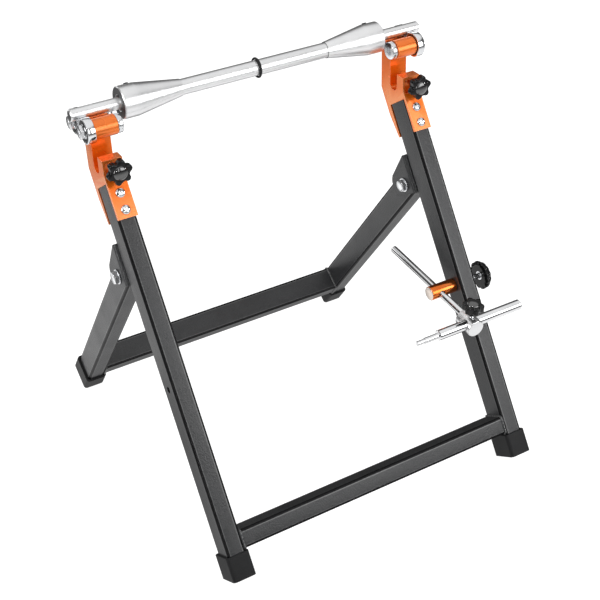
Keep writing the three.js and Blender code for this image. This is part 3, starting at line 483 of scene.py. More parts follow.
def bump(tree, source, strength, distance):
    inputs = {"Height": source, "Strength": strength, "Distance": distance}
    return add_node(tree, "Bump", inputs).outputs["Normal"]


def paint_edge_highlight(tree, base, bright):
    """base, with a painted highlight along the outward edges of the mesh."""
    sharpness = tree.nodes.new("ShaderNodeNewGeometry").outputs["Pointiness"]
    node = tree.nodes.new("ShaderNodeMix")
    node.data_type = "RGBA"
    edge_highlight = span(tree, sharpness, 0, HIGHLIGHT_AMOUNT, HIGHLIGHT_START, HIGHLIGHT_END)
    connect(tree, node, {"Factor": edge_highlight, "A": base, "B": (*bright, 1)})
    return node.outputs["Result"]


def coated(name, low, high, roughness, grain, scale, gloss=0.5, metallic=0.0, coat=0.0, coat_ior=1.5,
           edge_highlight=None):
    """A sprayed or moulded surface: fine speckle, uneven sheen and an orange-peel bump."""
    material, tree, shader = new_material(name)
    speckle = noise(tree, scale * SPECKLE_RATIO, SPECKLE_DETAIL)
    cloud = noise(tree, CLOUD_SCALE, DETAIL)
    mixed = product(tree, speckle, SPECKLE_SHARE, product(tree, cloud, CLOUD_SHARE))
    colour = ramp(tree, mixed, low, high)
    # A painted highlight along the edges, lighter where the mesh is sharp
    if edge_highlight:
        colour = paint_edge_highlight(tree, colour, edge_highlight)
    peel = noise(tree, scale, DETAIL)
    connect(tree, shader, {
        "Base Color": colour, "Roughness": span(tree, cloud, roughness - SMOOTHER, roughness + ROUGHER),
        "Normal": bump(tree, peel, grain, PEEL_DEPTH), "Metallic": metallic, "Specular IOR Level": gloss,
        "Coat Weight": coat, "Coat IOR": coat_ior, "Coat Roughness": COAT_ROUGHNESS,
    })
    return material


def machined(name, low, high, roughness, stretch=(1, 1, 1), scale=260, grain=0.15):
    """Bare turned or plated metal: fine lines across the way in which stretch is above 1."""
    material, tree, shader = new_material(name)
    lines = noise(tree, scale, DETAIL, LINE_ROUGHNESS, stretch)
    cloud = noise(tree, METAL_CLOUD_SCALE, DETAIL)
    connect(tree, shader, {
        "Base Color": ramp(tree, cloud, low, high), "Metallic": 1,
        "Normal": bump(tree, lines, grain, LINE_DEPTH),
        "Roughness": span(tree, lines, roughness - SMOOTHER, roughness + METAL_ROUGHER),
    })
    return material


POWDER = coated("powder_grey", (0.010, 0.0105, 0.0115), (0.038, 0.039, 0.041), roughness=0.33, grain=1.4,
                scale=650)
# Painted highlight and painted shade for the corners of the tubes; the beads of weld take the painted
# highlight too
POWDER_HIGHLIGHT = coated("powder_painted_highlight", (0.026, 0.027, 0.028), (0.050, 0.051, 0.053), roughness=0.3, grain=0.7,
                      scale=900, gloss=0.9)
POWDER_SHADE = coated("powder_painted_shade", (0.003, 0.003, 0.0035), (0.007, 0.007, 0.0075), roughness=0.3, grain=0.7,
                     scale=900, gloss=0.12)
CAP = coated("cap_black", (0.008, 0.008, 0.0085), (0.016, 0.016, 0.017), roughness=0.5, grain=0.35,
             scale=1500, gloss=0.22)
# The orange is painted lighter along its edges as a highlight
ORANGE = coated("head_orange", (0.88, 0.15, 0.003), (0.96, 0.18, 0.006), roughness=0.25, grain=0.2,
                scale=1100, gloss=0.4, metallic=0.5, coat=0.3, edge_highlight=(1.0, 0.45, 0.18))
# Painted highlight: the pale finish of the heads' bevelled edges
ORANGE_HIGHLIGHT = coated("head_painted_highlight", (0.98, 0.60, 0.36), (1.0, 0.74, 0.50), roughness=0.3, grain=0.1, scale=1100,
                     gloss=0.7)
BLACK = (0.004, 0.004, 0.0045), (0.009, 0.009, 0.0095)
GLOSS = coated("knob_black", *BLACK, roughness=0.12, grain=0.05, scale=700, gloss=0.28)
DOME = coated("knob_dome", *BLACK, roughness=0.12, grain=0.03, scale=700, coat=1.0, coat_ior=1.9)
SEAL = coated("seal_black", (0.010, 0.010, 0.011), (0.022, 0.021, 0.022), roughness=0.42, grain=0.2,
              scale=1600, gloss=0.35)
RUBBER = coated("ring_black", (0.008, 0.008, 0.008), (0.016, 0.016, 0.017), roughness=0.6, grain=0.2,
                scale=1600, gloss=0.3)
COPPER = machined("boss_copper", (0.74, 0.15, 0.025), (0.90, 0.24, 0.06), 0.16, stretch=(1, 8, 8))
COPPER_END = machined("boss_end", (0.93, 0.80, 0.70), (0.97, 0.87, 0.79), 0.3, stretch=(1, 8, 8))
# A darker metal for the flat ends of the shaft and the cones
DARK_END = machined("dark_end", (0.10, 0.102, 0.105), (0.22, 0.222, 0.226), 0.35, stretch=(1, 8, 8))
ZINC = machined("zinc", (0.74, 0.75, 0.77), (0.88, 0.89, 0.90), 0.2, scale=500)
BRIGHT = machined("bearing_steel", (0.78, 0.79, 0.81), (0.90, 0.91, 0.92), 0.12, stretch=(6, 1, 1), scale=500,
                  grain=0.05)
ALUMINIUM = machined("bare_aluminium", (0.86, 0.865, 0.87), (0.93, 0.93, 0.935), 0.32, stretch=(8, 1, 1),
                     scale=300, grain=0.08)
CHROME = machined("polished_rod", (0.84, 0.85, 0.86), (0.93, 0.93, 0.94), 0.06, scale=600, grain=0.02)
BLACK_STEEL = machined("black_steel", (0.02, 0.02, 0.022), (0.05, 0.05, 0.052), 0.35, scale=700)

# The second finish that a material's pieces carry: the painted highlight on the heads' edges, and the domes
# of the knobs
SECOND_FINISH = {ORANGE: ORANGE_HIGHLIGHT, GLOSS: DOME}


# Pieces
def shade_corners(mesh, place):
    """Painted light on a bent corner: a painted highlight line where it leaves the flat and painted shade
    round the bend.
    """
    mesh.materials.append(POWDER_HIGHLIGHT)
    mesh.materials.append(POWDER_SHADE)
    back = place.to_3x3().inverted()
    for polygon in mesh.polygons:
        # Faces round the bend get painted shade, and those where it leaves the flat get a painted highlight
        lean = sorted(abs(part) for part in back @ polygon.normal)[1]
        if lean > CORNER_LEAN:
            polygon.material_index = 2
        elif lean > FLAT_LEAN:
            polygon.material_index = 1


def face_ends(thing, finish):
    """A second finish for the flat ends of a piece that lies along the shaft."""
    thing.data.materials.append(finish)
    for polygon in thing.data.polygons:
        if abs(polygon.normal.x) > END_FACING:
            polygon.material_index = len(thing.data.materials) - 1


def soften(thing, edge, segments):
    """Rounds the sharp edges of a piece; those of the heads take a painted highlight as their second finish.
    """
    mesh = thing.data
    bevel = thing.modifiers.new("edge", "BEVEL")
    # The bevels of the heads take the painted highlight
    bevel.material = 1 if mesh.materials[0] == ORANGE else -1
    bevel.harden_normals = True
    bevel.width = edge * MM
    bevel.segments = segments
    bevel.limit_method = "ANGLE"
    bevel.angle_limit = SHARP_ANGLE
    bpy.context.view_layer.update()
    graph = bpy.context.evaluated_depsgraph_get()
    soft = bpy.data.meshes.new_from_object(thing.evaluated_get(graph))
    thing.modifiers.clear()
    thing.data = soft
    soft.name = thing.name
    bpy.data.meshes.remove(mesh)


def piece(name, shape, place, body, material, *nodes, edge=0.0, segments=2, sharp=SHARP_ANGLE):
    """A finished piece of the object: put in place, bevelled, shaded, given its material and its body."""
    placed(shape, Matrix.Scale(MM, 4) @ place)
    bmesh.ops.remove_doubles(shape, verts=shape.verts, dist=MM * MERGE)
    mesh = mesh_of(shape, name)
    mesh.materials.append(material)
    if material in SECOND_FINISH:
        mesh.materials.append(SECOND_FINISH[material])
    for polygon in mesh.polygons:
        polygon.use_smooth = True
    mesh.set_sharp_from_angle(angle=sharp)
    thing = new_object(mesh, name)
    if edge:
        soften(thing, edge, segments)
    elif material == POWDER:
        shade_corners(mesh, place)
    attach(thing, body)
    if nodes:
        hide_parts(*nodes)
    return thing


# Frames
def eased_corner():
    """The points of one tube corner, which bends gently out of each flat and tightly between them."""
    x, y = 0.0, 0.0
    points = [(x, y)]
    for step in range(EASED_STEPS):
        angle = (step + 0.5) * QUARTER / EASED_STEPS
        bend = 1 + EASE * abs(cos(2 * angle)) ** EASE_POWER
        x += cos(angle) * bend
        y += sin(angle) * bend
        points.append((x, y))
    return [(TUBE_EASE * (px / x - 1), TUBE_EASE * py / y) for px, py in points]


def eased(width, depth):
    corner = eased_corner()
    x, y = width / 2, depth / 2
    points = [(x + px, -y + py) for px, py in corner]
    points += [(x - py, y + px) for px, py in corner]
    points += [(-x - px, y - py) for px, py in corner]
    points += [(-x + py, -y - px) for px, py in corner]
    return points


def tube(length):
    inner_corner = TUBE_CORNER - TUBE_WALL
    inner = rounded(TUBE_WIDTH - 2 * TUBE_WALL, TUBE_DEPTH - 2 * TUBE_WALL, inner_corner, EASED_STEPS)
    return prism(eased(TUBE_WIDTH, TUBE_DEPTH), length, inner)


def front_leg():
    start = CAP_FLOOR + SEAT_GAP
    leg = placed(tube(LEG_LENGTH - start), shift(0, 0, start))
    half = HALF_WIDTH + OVERRUN
    hole = rod_x(IND_STUD_RADIUS + TURN_GAP, -half, half)
    return cut(leg, placed(hole, shift(0, 0, IND_ALONG)))


def foot_cap(lean, low_edge):
    outer = prism(rounded(CAP_WIDTH, CAP_DEPTH, CAP_CORNER), CAP_HEIGHT)
    cavity = prism(rounded(TUBE_WIDTH + 2 * SEAT_GAP, TUBE_DEPTH + 2 * SEAT_GAP, TUBE_CORNER), CAP_HEIGHT)
    placed(cavity, shift(0, 0, CAP_FLOOR))
    rise, run = FLAT_DEPTH / cos(lean), FLAT_DEPTH / sin(lean)
    edge = low_edge * CAP_DEPTH / 2
    over = OVERRUN * tan(lean)
    wedge = [
        (edge - low_edge * (run + OVERRUN), -over),
        (edge + low_edge * OVERRUN, -over),
        (edge + low_edge * OVERRUN, rise + over),
    ]
    return cut(outer, cavity, side_plate(wedge, CAP_WIDTH + 2 * OVERRUN))


def spaced(outline, step):
    """The closed outline with more points, no further apart than step."""
    points = []
    for start, end in zip(outline, outline[1:] + outline[:1]):
        parts = max(1, ceil(dist(start, end) / step))
        points += [Vector(start).lerp(Vector(end), part / parts) for part in range(parts)]
    return points


def weld_bead():
    """The painted bead of weld round the end of a tube, rippled as a hand leaves it."""
    path = spaced(rounded(TUBE_WIDTH, TUBE_DEPTH, TUBE_CORNER, FINE_CORNER), WELD_STEP)
    rings = []
    for i, (x, y) in enumerate(path):
        along = (path[(i + 1) % len(path)] - path[i - 1]).normalized()
        ripple = WELD_RIPPLE * (sin(WELD_SHORT_WAVE * i) + sin(WELD_LONG_WAVE * i) / 2)
        section = arc(0, 0, WELD_RADIUS * (1 + ripple), 0, 2 * pi, WELD_SIDES)[:-1]
        rings.append([(x + along.y * out, y - along.x * out, z) for out, z in section])
    return placed(stacked(rings, closed=True), ALONG_X)


def crossbar():
    length = 2 * (LEG_INSIDE - SEAT_GAP)
    return placed(placed(tube(length), ALONG_X), shift(-length / 2))


def rear_leg():
    start = -REAR_DROP + CAP_FLOOR + SEAT_GAP
    reach = SEAT
    open_angle = QUARTER - FRONT_LEAN - REAR_LEAN
    stop = (reach + HALF_DEPTH * sin(open_angle)) / cos(open_angle)
    leg = placed(tube(stop - start), shift(0, 0, start))
    side = HALF_DEPTH + OVERRUN
    cheek = acos(HALF_DEPTH / reach)
    profile = [(-side, start - OVERRUN), (side, start - OVERRUN), (side, stop + tan(open_angle) * OVERRUN)]
    profile += arc(0, 0, reach, QUARTER + open_angle, 2 * QUARTER - cheek, 2 * CORNER)
    profile += [(-side, reach * sin(cheek))]
    bore = rod_x(BOLT_RADIUS + TURN_GAP, -TUBE_WIDTH, TUBE_WIDTH)
    return combine(leg, [(side_plate(profile, TUBE_WIDTH + 2 * OVERRUN), "INTERSECT"), (bore, "DIFFERENCE")])


def hinge_channel():
    """The folded sheet seen along the leg: a flat web and an ear on each side."""
    inner = HALF_WIDTH + HINGE_SIDE_GAP
    web = SEAT
    back = PIVOT_BEHIND + EAR_LOWER + OVERRUN
    bend = BRACKET_HALF - HINGE_BEND
    outline = [(-BRACKET_HALF, back)]
    outline += arc(-bend, web + HINGE_BEND, HINGE_BEND, 2 * QUARTER, 3 * QUARTER)
    outline += arc(bend, web + HINGE_BEND, HINGE_BEND, -QUARTER, 0)
    outline += [(BRACKET_HALF, back), (inner, back)]
    fillet_y = web + HINGE_WALL + HINGE_FILLET
    outline += arc(inner - HINGE_FILLET, fillet_y, HINGE_FILLET, 0, -QUARTER, FINE_CORNER)
    outline += arc(-inner + HINGE_FILLET, fillet_y, HINGE_FILLET, -QUARTER, -2 * QUARTER, FINE_CORNER)
    return outline + [(-inner, back)]


def hinge_ear():
    """The bracket seen from the side."""
    web = SEAT
    low, high = PIVOT_ALONG - EAR_BOTTOM, PIVOT_ALONG + EAR_TOP
    lower, upper = PIVOT_BEHIND + EAR_LOWER, PIVOT_BEHIND + EAR_UPPER
    drop, rise = PIVOT_ALONG - EAR_TAIL_DROP, PIVOT_ALONG + EAR_TAIL_RISE
    outline = [(web - OVERRUN, low), (PIVOT_BEHIND, low), (lower - EAR_CORNER, drop)]
    outline += curve((lower - EAR_CORNER, drop), (lower, drop), (lower, drop + EAR_CORNER))
    outline += [(upper, rise - EAR_CORNER)]
    outline += curve((upper, rise - EAR_CORNER), (upper, rise), (upper - EAR_CORNER, rise + EAR_CORNER))
    return outline + [(web + HINGE_BEND, high), (web - OVERRUN, high)]


def hinge_bracket():
    low = PIVOT_ALONG - EAR_BOTTOM
    solid = placed(prism(hinge_channel(), EAR_TOP + EAR_BOTTOM), shift(0, 0, low))
    outer = 2 * BRACKET_HALF
    ear = side_plate(hinge_ear(), outer + 2 * OVERRUN)
    bore = rod_x(BOLT_RADIUS + SEAT_GAP, -outer, outer)
    placed(bore, shift(0, PIVOT_BEHIND, PIVOT_ALONG))
    return combine(solid, [(ear, "INTERSECT"), (bore, "DIFFERENCE")])


FRAMES = (
    # name, body, place, leg, lean, the side of its foot that is low, drop to the foot, gap below the crossbar
    ("front", "stand", FRONT, front_leg, FRONT_LEAN, 1, 0, FRONT_CROSS_GAP),
    ("rear", "rear_frame", REAR, rear_leg, REAR_LEAN, -1, REAR_DROP, REAR_CROSS_GAP),
)


def build_legs(side, sign):
    for name, body, place, leg, lean, low_edge, drop, _ in FRAMES:
        column = place @ shift(sign * LEG_X)
        piece(f"{name}_{side}_leg_tube", leg(), column, body, POWDER, f"{name}_{side}_leg")
        piece(f"{name}_{side}_foot", foot_cap(lean, low_edge), column @ shift(0, 0, -drop), body, CAP,
              f"{name}_{side}_foot_cap", edge=CAP_EDGE, segments=3)
        if name == "front":
            piece(f"{side}_hinge_plate", hinge_bracket(), column, body, POWDER, f"{side}_hinge_bracket",
                  edge=HINGE_EDGE, segments=3)


def build_crossbars():
    spots = [(name, body, place @ shift(0, 0, -drop + CAP_HEIGHT + gap + HALF_WIDTH))
             for name, body, place, *_, drop, gap in FRAMES]
    for name, body, spot in spots:
        piece(f"{name}_cross_tube", crossbar(), spot, body, POWDER, f"{name}_crossbar")
    for side, sign in SIDES:
        for name, body, spot in spots:
            end = spot @ shift(sign * (LEG_INSIDE - SEAT_GAP))
            # The beads take the pale powder as a painted highlight
            piece(f"{name}_{side}_weld", weld_bead(), end, body, POWDER_HIGHLIGHT, sharp=WELD_SHARP)


def build_pivots():
    seat = BRACKET_HALF + SEAT_GAP
    flange = seat + FLANGE_THICKNESS
    for side, sign in SIDES:
        place = PIVOT @ shift(sign * LEG_X)
        head = placed(hexagon(BOLT_ACROSS, -flange - BOLT_HEAD, -flange, BOLT_CORNER), ALONG_X)
        disc = lathe_x(bar(FLANGE_RADIUS, -flange, -seat, FLANGE_EDGE))
        shank = rod_x(BOLT_RADIUS, -flange, seat + NUT_HEIGHT + BOLT_END, BOLT_TIP_EDGE)
        piece(f"{side}_hinge_bolt", joined([head, disc, shank]), place, "stand", ZINC, f"{side}_pivot_bolt",
              edge=BOLT_EDGE)
        nut = placed(hexagon(BOLT_ACROSS, seat, seat + NUT_HEIGHT, BOLT_CORNER), ALONG_X)
        piece(f"{side}_hinge_nut", nut, place, "stand", ZINC, f"{side}_pivot_nut", edge=BOLT_EDGE)


# Heads
def on_leg(along, out):
    """A point of the side view, from its place along the leg past the top and its distance in front."""
    return (
        along * sin(FRONT_LEAN) - out * cos(FRONT_LEAN),
        along * cos(FRONT_LEAN) + out * sin(FRONT_LEAN),
    )


def head_outline():
    inner = SEAT
    front = inner + FRONT_TAB
    shoulder = (front * cos(FRONT_LEAN) - HEAD_FRONT) / sin(FRONT_LEAN)
    bulge = inner + BULGE
    tail = -TAB_LENGTH
    before = on_leg(shoulder - FRONT_TAB, front)
    outline = [on_leg(tail, front), before]
    outline += curve(before, on_leg(shoulder, front), (-HEAD_FRONT, SHOULDER_HEIGHT))
    outline += [(-HEAD_FRONT, LEDGE_HEIGHT), (SLOT_FRONT, LEDGE_HEIGHT)]
    radius = SLOT_WIDTH / 2
    outline += arc(SLOT_FRONT + radius, SLOT_FLOOR + radius, radius, 2 * QUARTER, 4 * QUARTER, 2 * CORNER)
    outline += [
        (SLOT_BACK, BOSS_HEIGHT - BOSS_RADIUS), (BOSS_FRONT, BOSS_HEIGHT - BOSS_GUSSET),
        (BOSS_FRONT, BOSS_HEIGHT), (HEAD_BACK, BOSS_HEIGHT), (HEAD_BACK, HEAD_BACK_FOOT),
        on_leg(BULGE_UPPER, -bulge), on_leg(-BULGE_LOWER, -bulge), on_leg(tail, -inner - BACK_TAB),
        on_leg(tail, -inner), on_leg(SEAT_GAP, -inner), on_leg(SEAT_GAP, inner), on_leg(tail, inner),
    ]
    return outline


def head_bracket():
    half = HEAD_WIDTH / 2
    steps = []
    bores = []
    for _, y in ROWS:
        place = shift(0, y, BOSS_HEIGHT)
        steps.append((placed(lathe_x(bar(BOSS_RADIUS, -half - BOSS_PROUD, half)), place), "UNION"))
        steps.append((placed(lathe_x(bar(PAD_RADIUS, 0, half + PAD_HEIGHT)), place), "UNION"))
        bores.append((placed(lathe_x(bar(BORE + SEAT_GAP, -HEAD_WIDTH, HEAD_WIDTH)), place), "DIFFERENCE"))
    steps += bores
    window = rounded(HEAD_WIDTH - 2 * POCKET_SIDE, POCKET_TOP - POCKET_FLOOR, POCKET_CORNER, POCKET_STEPS)
    pocket = prism(window, POCKET_DEPTH + OVERRUN)
    middle = (POCKET_TOP + POCKET_FLOOR) / 2
    placed(pocket, shift(0, -HEAD_FRONT + POCKET_DEPTH, middle) @ turn(QUARTER, "X"))
    steps.append((pocket, "DIFFERENCE"))
    thread = rod_y(CLAMP_STUD_RADIUS + TURN_GAP, -HEAD_FRONT, SLOT_FRONT + OVERRUN)
    steps.append((placed(thread, shift(0, 0, CLAMP_HEIGHT)), "DIFFERENCE"))
    return combine(side_plate(head_outline(), HEAD_WIDTH), steps)


def head_screw():
    """A pan head with a cross recess, its axis along Z and its seat at z = 0."""
    profile = [(0, SCREW_HEIGHT)]
    for i in range(1, CORNER + 1):
        angle = QUARTER * i / CORNER
        profile.append((SCREW_HEAD * sin(angle), SCREW_HEIGHT * cos(angle)))
    profile += [(SCREW_RADIUS, 0), (SCREW_RADIUS, -SCREW_LENGTH), (0, -SCREW_LENGTH)]
    x, y = RECESS_REACH, RECESS_HALF
    blades = []
    for angle in (0, QUARTER):
        blade = prism([(-x, -y), (x, -y), (x, y), (-x, y)], 2 * RECESS_DEPTH)
        blades.append(placed(blade, turn(angle, "Z") @ shift(0, 0, SCREW_HEIGHT - RECESS_DEPTH)))
    return cut(lathe(profile, SMALL_ROUND), *blades)


def roller_screw():
    """The screw through a boss, with the nut on its end."""
    seat = -HEAD_WIDTH / 2 - BOSS_PROUD - SEAT_GAP
    low = seat - ROLLER_HEAD_HEIGHT
    nut_start = BEARING_END + SEAT_GAP
    nut_end = nut_start + ROLLER_NUT_HEIGHT
    socket = placed(hexagon(SOCKET_RADIUS * sqrt(3), low - OVERRUN, low + SOCKET_DEPTH), ALONG_X)
    head = cut(lathe_x(bar(ROLLER_HEAD_RADIUS, low, seat, ROLLER_HEAD_EDGE)), socket)
    shank = rod_x(BORE, seat - SHANK_LAP, BEARING_END)
    thread = rod_x(ROLLER_THREAD, seat, nut_end + ROLLER_END, STUD_EDGE)
    nut = placed(hexagon(ROLLER_NUT_ACROSS, nut_start, nut_end, ROLLER_NUT_CORNER), ALONG_X)
    return joined([head, shank, thread, nut])


def both_halves(upper):
    """The closed profile of a ring from its half above z = 0, which starts at the outside."""
    lower = [(radius, -place) for radius, place in reversed(upper)]
    return lower + upper + lower[:1]


def outer_ring():
    half = BEARING_WIDTH / 2
    return lathe_x(both_halves([
        (BEARING_RADIUS, half - BEARING_EDGE), (BEARING_RADIUS - RACE_EDGE, half - RACE_EDGE),
        (BEARING_RADIUS - BEARING_EDGE, half), (OUTER_LAND + RACE_EDGE, half), (OUTER_LAND, half - RACE_EDGE),
    ]))


def seals():
    face = BEARING_WIDTH / 2 - SEAL_DEPTH
    back = face - SEAL_THICKNESS
    lip = INNER_LAND + SEAL_GAP
    profile = [
        (lip, back), (OUTER_LAND, back),
        (OUTER_LAND, face - SEAL_RIM_DROP), (OUTER_LAND - SEAL_RIM_RUN, face),
        (INNER_LAND + SEAL_STEP_OUTER, face), (INNER_LAND + SEAL_STEP_INNER, face - SEAL_STEP_DROP),
        (lip + SEAL_LIP_RUN, face - SEAL_LIP_DROP), (lip, face - SEAL_LIP_EDGE), (lip, back),
    ]
    return joined([placed(lathe_x(profile), mirrored(sign)) for sign in (-1, 1)])


def inner_ring():
    half = BEARING_WIDTH / 2
    bore = BORE + INNER_FIT
    return lathe_x(both_halves([
        (INNER_LAND, half - LAND_EDGE), (INNER_LAND - LAND_EDGE, half),
        (bore + INNER_EDGE, half), (bore, half - INNER_EDGE),
    ]))


def lobed(outer, inner):
    """The radius of a waved outline at each of its points: rounded lobes with hollows between."""
    radii = []
    middle, swing = (outer + inner) / 2, (outer - inner) / 2
    for i in range(STAR_LOBES * LOBE_STEPS):
        wave = cos(2 * pi * i / LOBE_STEPS)
        radii.append(middle + swing * copysign(abs(wave) ** LOBE_POWER, wave))
    return radii


def star_knob(radius, waist, thickness, dome, hub_radius, hub_length, dome_radius):
    """Star knob along Z with its domed face at z = 0 and its hub below, built from stacked rings."""
    rim_top, rim_low = -dome, -dome - thickness
    base = lobed(radius, waist)
    angles = circle(len(base))
    rim = arc(-STAR_EDGE, rim_low + STAR_EDGE, STAR_EDGE, -QUARTER, 0, STAR_EDGE_STEPS)
    rim += arc(-STAR_EDGE, rim_top - STAR_EDGE, STAR_EDGE, 0, QUARTER, STAR_EDGE_STEPS)
    hub = [
        (hub_radius, rim_low - hub_length), (hub_radius + FLARE_START, rim_low - FLARE_HEIGHT),
        (hub_radius + FLARE_END, rim_low),
    ]
    cap = [(dome_radius + DOME_SKIRT, rim_top + DOME_LIFT)]
    for i in range(DOME_STEPS + 1):
        angle = QUARTER * i / DOME_STEPS
        cap.append((max(dome_radius * cos(angle), DOME_TIP), rim_top + dome * sin(angle)))
    levels = [([r] * len(base), z) for r, z in hub]
    levels += [([r + offset for r in base], z) for offset, z in rim]
    levels += [([r] * len(base), z) for r, z in cap]
    shape = stacked([
        [(r * cos(angle), r * sin(angle), z) for r, angle in zip(radii, angles)] for radii, z in levels
    ])
    shape.faces.ensure_lookup_table()
    below_dome = (len(hub) + len(rim) + 1) * len(base)
    for face in shape.faces[1 + below_dome:]:
        face.material_index = 1
    return shape


def knob_height(size):
    return size["dome"] + size["thickness"] + size["hub_length"]


def head_place(sign):
    return STAND @ shift(sign * LEG_X, TOP_Y, TOP_Z)


def build_bearings(side, sign):
    for row, y in ROWS:
        name = f"{side}_{row}"
        spot = head_place(sign) @ shift(0, y, BOSS_HEIGHT)
        piece(f"{name}_through_screw", roller_screw(), spot @ mirrored(sign), "stand", ZINC,
              f"{name}_roller_screw", edge=SCREW_EDGE)
        spot = spot @ shift(sign * (BEARING_START + BEARING_WIDTH / 2))
        piece(f"{name}_race_inner", inner_ring(), spot, "stand", BRIGHT, f"{name}_inner_ring")
        piece(f"{name}_race_outer", outer_ring(), spot, f"{name}_roller", BRIGHT, f"{name}_outer_ring")
        piece(f"{name}_seals", seals(), spot, f"{name}_roller", SEAL)


def build_heads():
    face = SEAT + FRONT_TAB + SEAT_GAP
    for side, sign in SIDES:
        place = head_place(sign)
        piece(f"{side}_head", head_bracket(), place @ mirrored(sign), "stand", ORANGE, f"{side}_head_bracket",
              edge=HEAD_EDGE)
        for level, below, angle in HEAD_SCREWS:
            spot = FRONT @ shift(sign * LEG_X, -face, LEG_LENGTH - below)
            spot = spot @ turn(QUARTER, "X") @ turn(angle, "Z")
            piece(f"{side}_{level}_cross_screw", head_screw(), spot, "stand", ZINC,
                  f"{side}_{level}_head_screw", edge=SCREW_EDGE)
        build_bearings(side, sign)
        spot = place @ shift(0, -CLAMP_FRONT, CLAMP_HEIGHT) @ turn(QUARTER, "X") @ turn(CLAMP_TURN, "Z")
        piece(f"{side}_clamp_star", star_knob(**STAR), spot, f"{side}_clamp_knob", GLOSS,
              f"{side}_clamp_knob", sharp=KNOB_SHARP)
        start = -CLAMP_FRONT + knob_height(STAR) - STAR_GRIP
        stud = rod_y(CLAMP_STUD_RADIUS, start, SLOT_FRONT - CLAMP_STUD_SHY, STUD_EDGE)
        piece(f"{side}_clamp_screw", stud, place @ shift(0, 0, CLAMP_HEIGHT), f"{side}_clamp_stud", ZINC,
              f"{side}_clamp_stud")


# Shaft and cones
def shaft_half():
    face, end = SEAT_GAP / 2, SHAFT_LENGTH / 2
    return lathe_x([
        (0, face), (SHAFT_RADIUS - JOINT_EDGE, face), (SHAFT_RADIUS, face + JOINT_EDGE),
        (SHAFT_RADIUS, SHAFT_STEP - STEP_EDGE), (SHAFT_RADIUS - STEP_EDGE, SHAFT_STEP),
        (JOURNAL_RADIUS, SHAFT_STEP), (JOURNAL_RADIUS, end - SHAFT_CHAMFER),
        (JOURNAL_RADIUS - SHAFT_CHAMFER, end), (0, end),
    ])


def cone_body():
    bore = SHAFT_RADIUS + CONE_BORE_FIT
    body = lathe_x([
        (bore, CONE_INNER), (CONE_TIP, CONE_INNER),
        (CONE_RADIUS - SHOULDER_DROP, CONE_SHOULDER - SHOULDER_RUN),
        (CONE_RADIUS, CONE_SHOULDER + SHOULDER_RUN), (CONE_RADIUS, CONE_OUTER - CONE_CHAMFER),
        (CONE_RADIUS - CONE_CHAMFER, CONE_OUTER), (bore + CONE_BORE_EDGE, CONE_OUTER),
        (bore, CONE_OUTER - CONE_BORE_EDGE), (bore, CONE_INNER),
    ], 2 * ROUND)
    hole = rod_z(CONE_SCREW_RADIUS + SEAT_GAP, 0, CONE_RADIUS + OVERRUN)
    return cut(body, placed(hole, CONE_SCREW_SPOT))


def cone_screw():
    top = CONE_RADIUS + CONE_SCREW_PROUD
    screw = rod_z(CONE_SCREW_RADIUS, SHAFT_RADIUS + SEAT_GAP, top, SMALL_STUD_EDGE)
    return placed(cut(screw, hexagon(CONE_KEY_ACROSS, top - CONE_KEY_DEPTH, top + OVERRUN)), CONE_SCREW_SPOT)


def rubber_ring():
    centre = SHAFT_RADIUS + SEAT_GAP + RING_SECTION
    section = arc(centre, 0, RING_SECTION, 0, 2 * pi, RING_STEPS)[:-1]
    return lathe_x(section + section[:1])


def build_shaft():
    for side, sign in SIDES:
        place = SHAFT @ mirrored(sign)
        half = piece(f"{side}_shaft_bar", shaft_half(), place, "shaft", ALUMINIUM, f"{side}_shaft_half")
        face_ends(half, DARK_END)
        cone = piece(f"{side}_cone_body", cone_body(), place, f"{side}_cone", ALUMINIUM, f"{side}_cone")
        face_ends(cone, DARK_END)
        piece(f"{side}_cone_grub", cone_screw(), place, f"{side}_cone", BLACK_STEEL, f"{side}_cone_screw")
    piece("shaft_rubber_ring", rubber_ring(), SHAFT @ shift(RING_PLACE), "shaft", RUBBER, "shaft_ring")
    stud = rod_x(JOIN_RADIUS, -JOIN_REACH, JOIN_REACH, STUD_EDGE)
    piece("shaft_inner_stud", stud, SHAFT, "shaft_core", ZINC, "shaft_joining_stud")


# Run-out pointer
def indicator_knob():
    """Fluted knob along X, built from stacked rings: rounded edges, flutes fading into the face."""
    angles = circle(IND_FLUTES * FLUTE_STEPS)
    hollows = [1 - (0.5 + 0.5 * cos(IND_FLUTES * angle)) ** FLUTE_POWER for angle in angles]
    levels = [(radius, KNOB_INNER + inward, flute) for radius, inward, flute in KNOB_BACK_RINGS]
    levels += [(radius, KNOB_OUTER - inward, flute) for radius, inward, flute in KNOB_FACE_RINGS]
    rings = []
    for radius, x, flute in levels:
        radii = [radius - flute * FLUTE_DEPTH * hollow for hollow in hollows]
        rings.append([(x, r * cos(angle), r * sin(angle)) for r, angle in zip(radii, angles)])
    return stacked(rings)


def indicator_boss():
    face = LEG_INSIDE - SEAT_GAP
    body = lathe_x(bar(IND_BOSS_RADIUS, face - IND_BOSS_LENGTH, face, IND_BOSS_CHAMFER))
    reach = IND_BOSS_RADIUS + OVERRUN
    hole = rod_y(ROD_RADIUS + TURN_GAP, -reach, reach)
    return cut(body, placed(hole, shift(ROD_X) @ turn(ROD_SLOPE, "X")))


def pointer_block():
    back = -BLOCK_FRONT + BLOCK_LENGTH
    body = lathe(bar(BLOCK_RADIUS, -BLOCK_FRONT, back, BLOCK_EDGE))
    placed(body, shift(BLOCK_X) @ ALONG_Y)
    rod = rod_y(ROD_RADIUS + SEAT_GAP, -ROD_FRONT - SEAT_GAP, back + OVERRUN)
    placed(rod, shift(ROD_X))
    reach = BLOCK_RADIUS + OVERRUN
    across = lathe_x(bar(POINTER_RADIUS + TURN_GAP, -reach, reach))
    placed(across, shift(BLOCK_X, POINTER_Y, POINTER_LIFT))
    stud = rod_z(POINTER_STUD_RADIUS + TURN_GAP, 0, reach)
    return cut(body, rod, across, placed(stud, shift(BLOCK_X, POINTER_Y)))


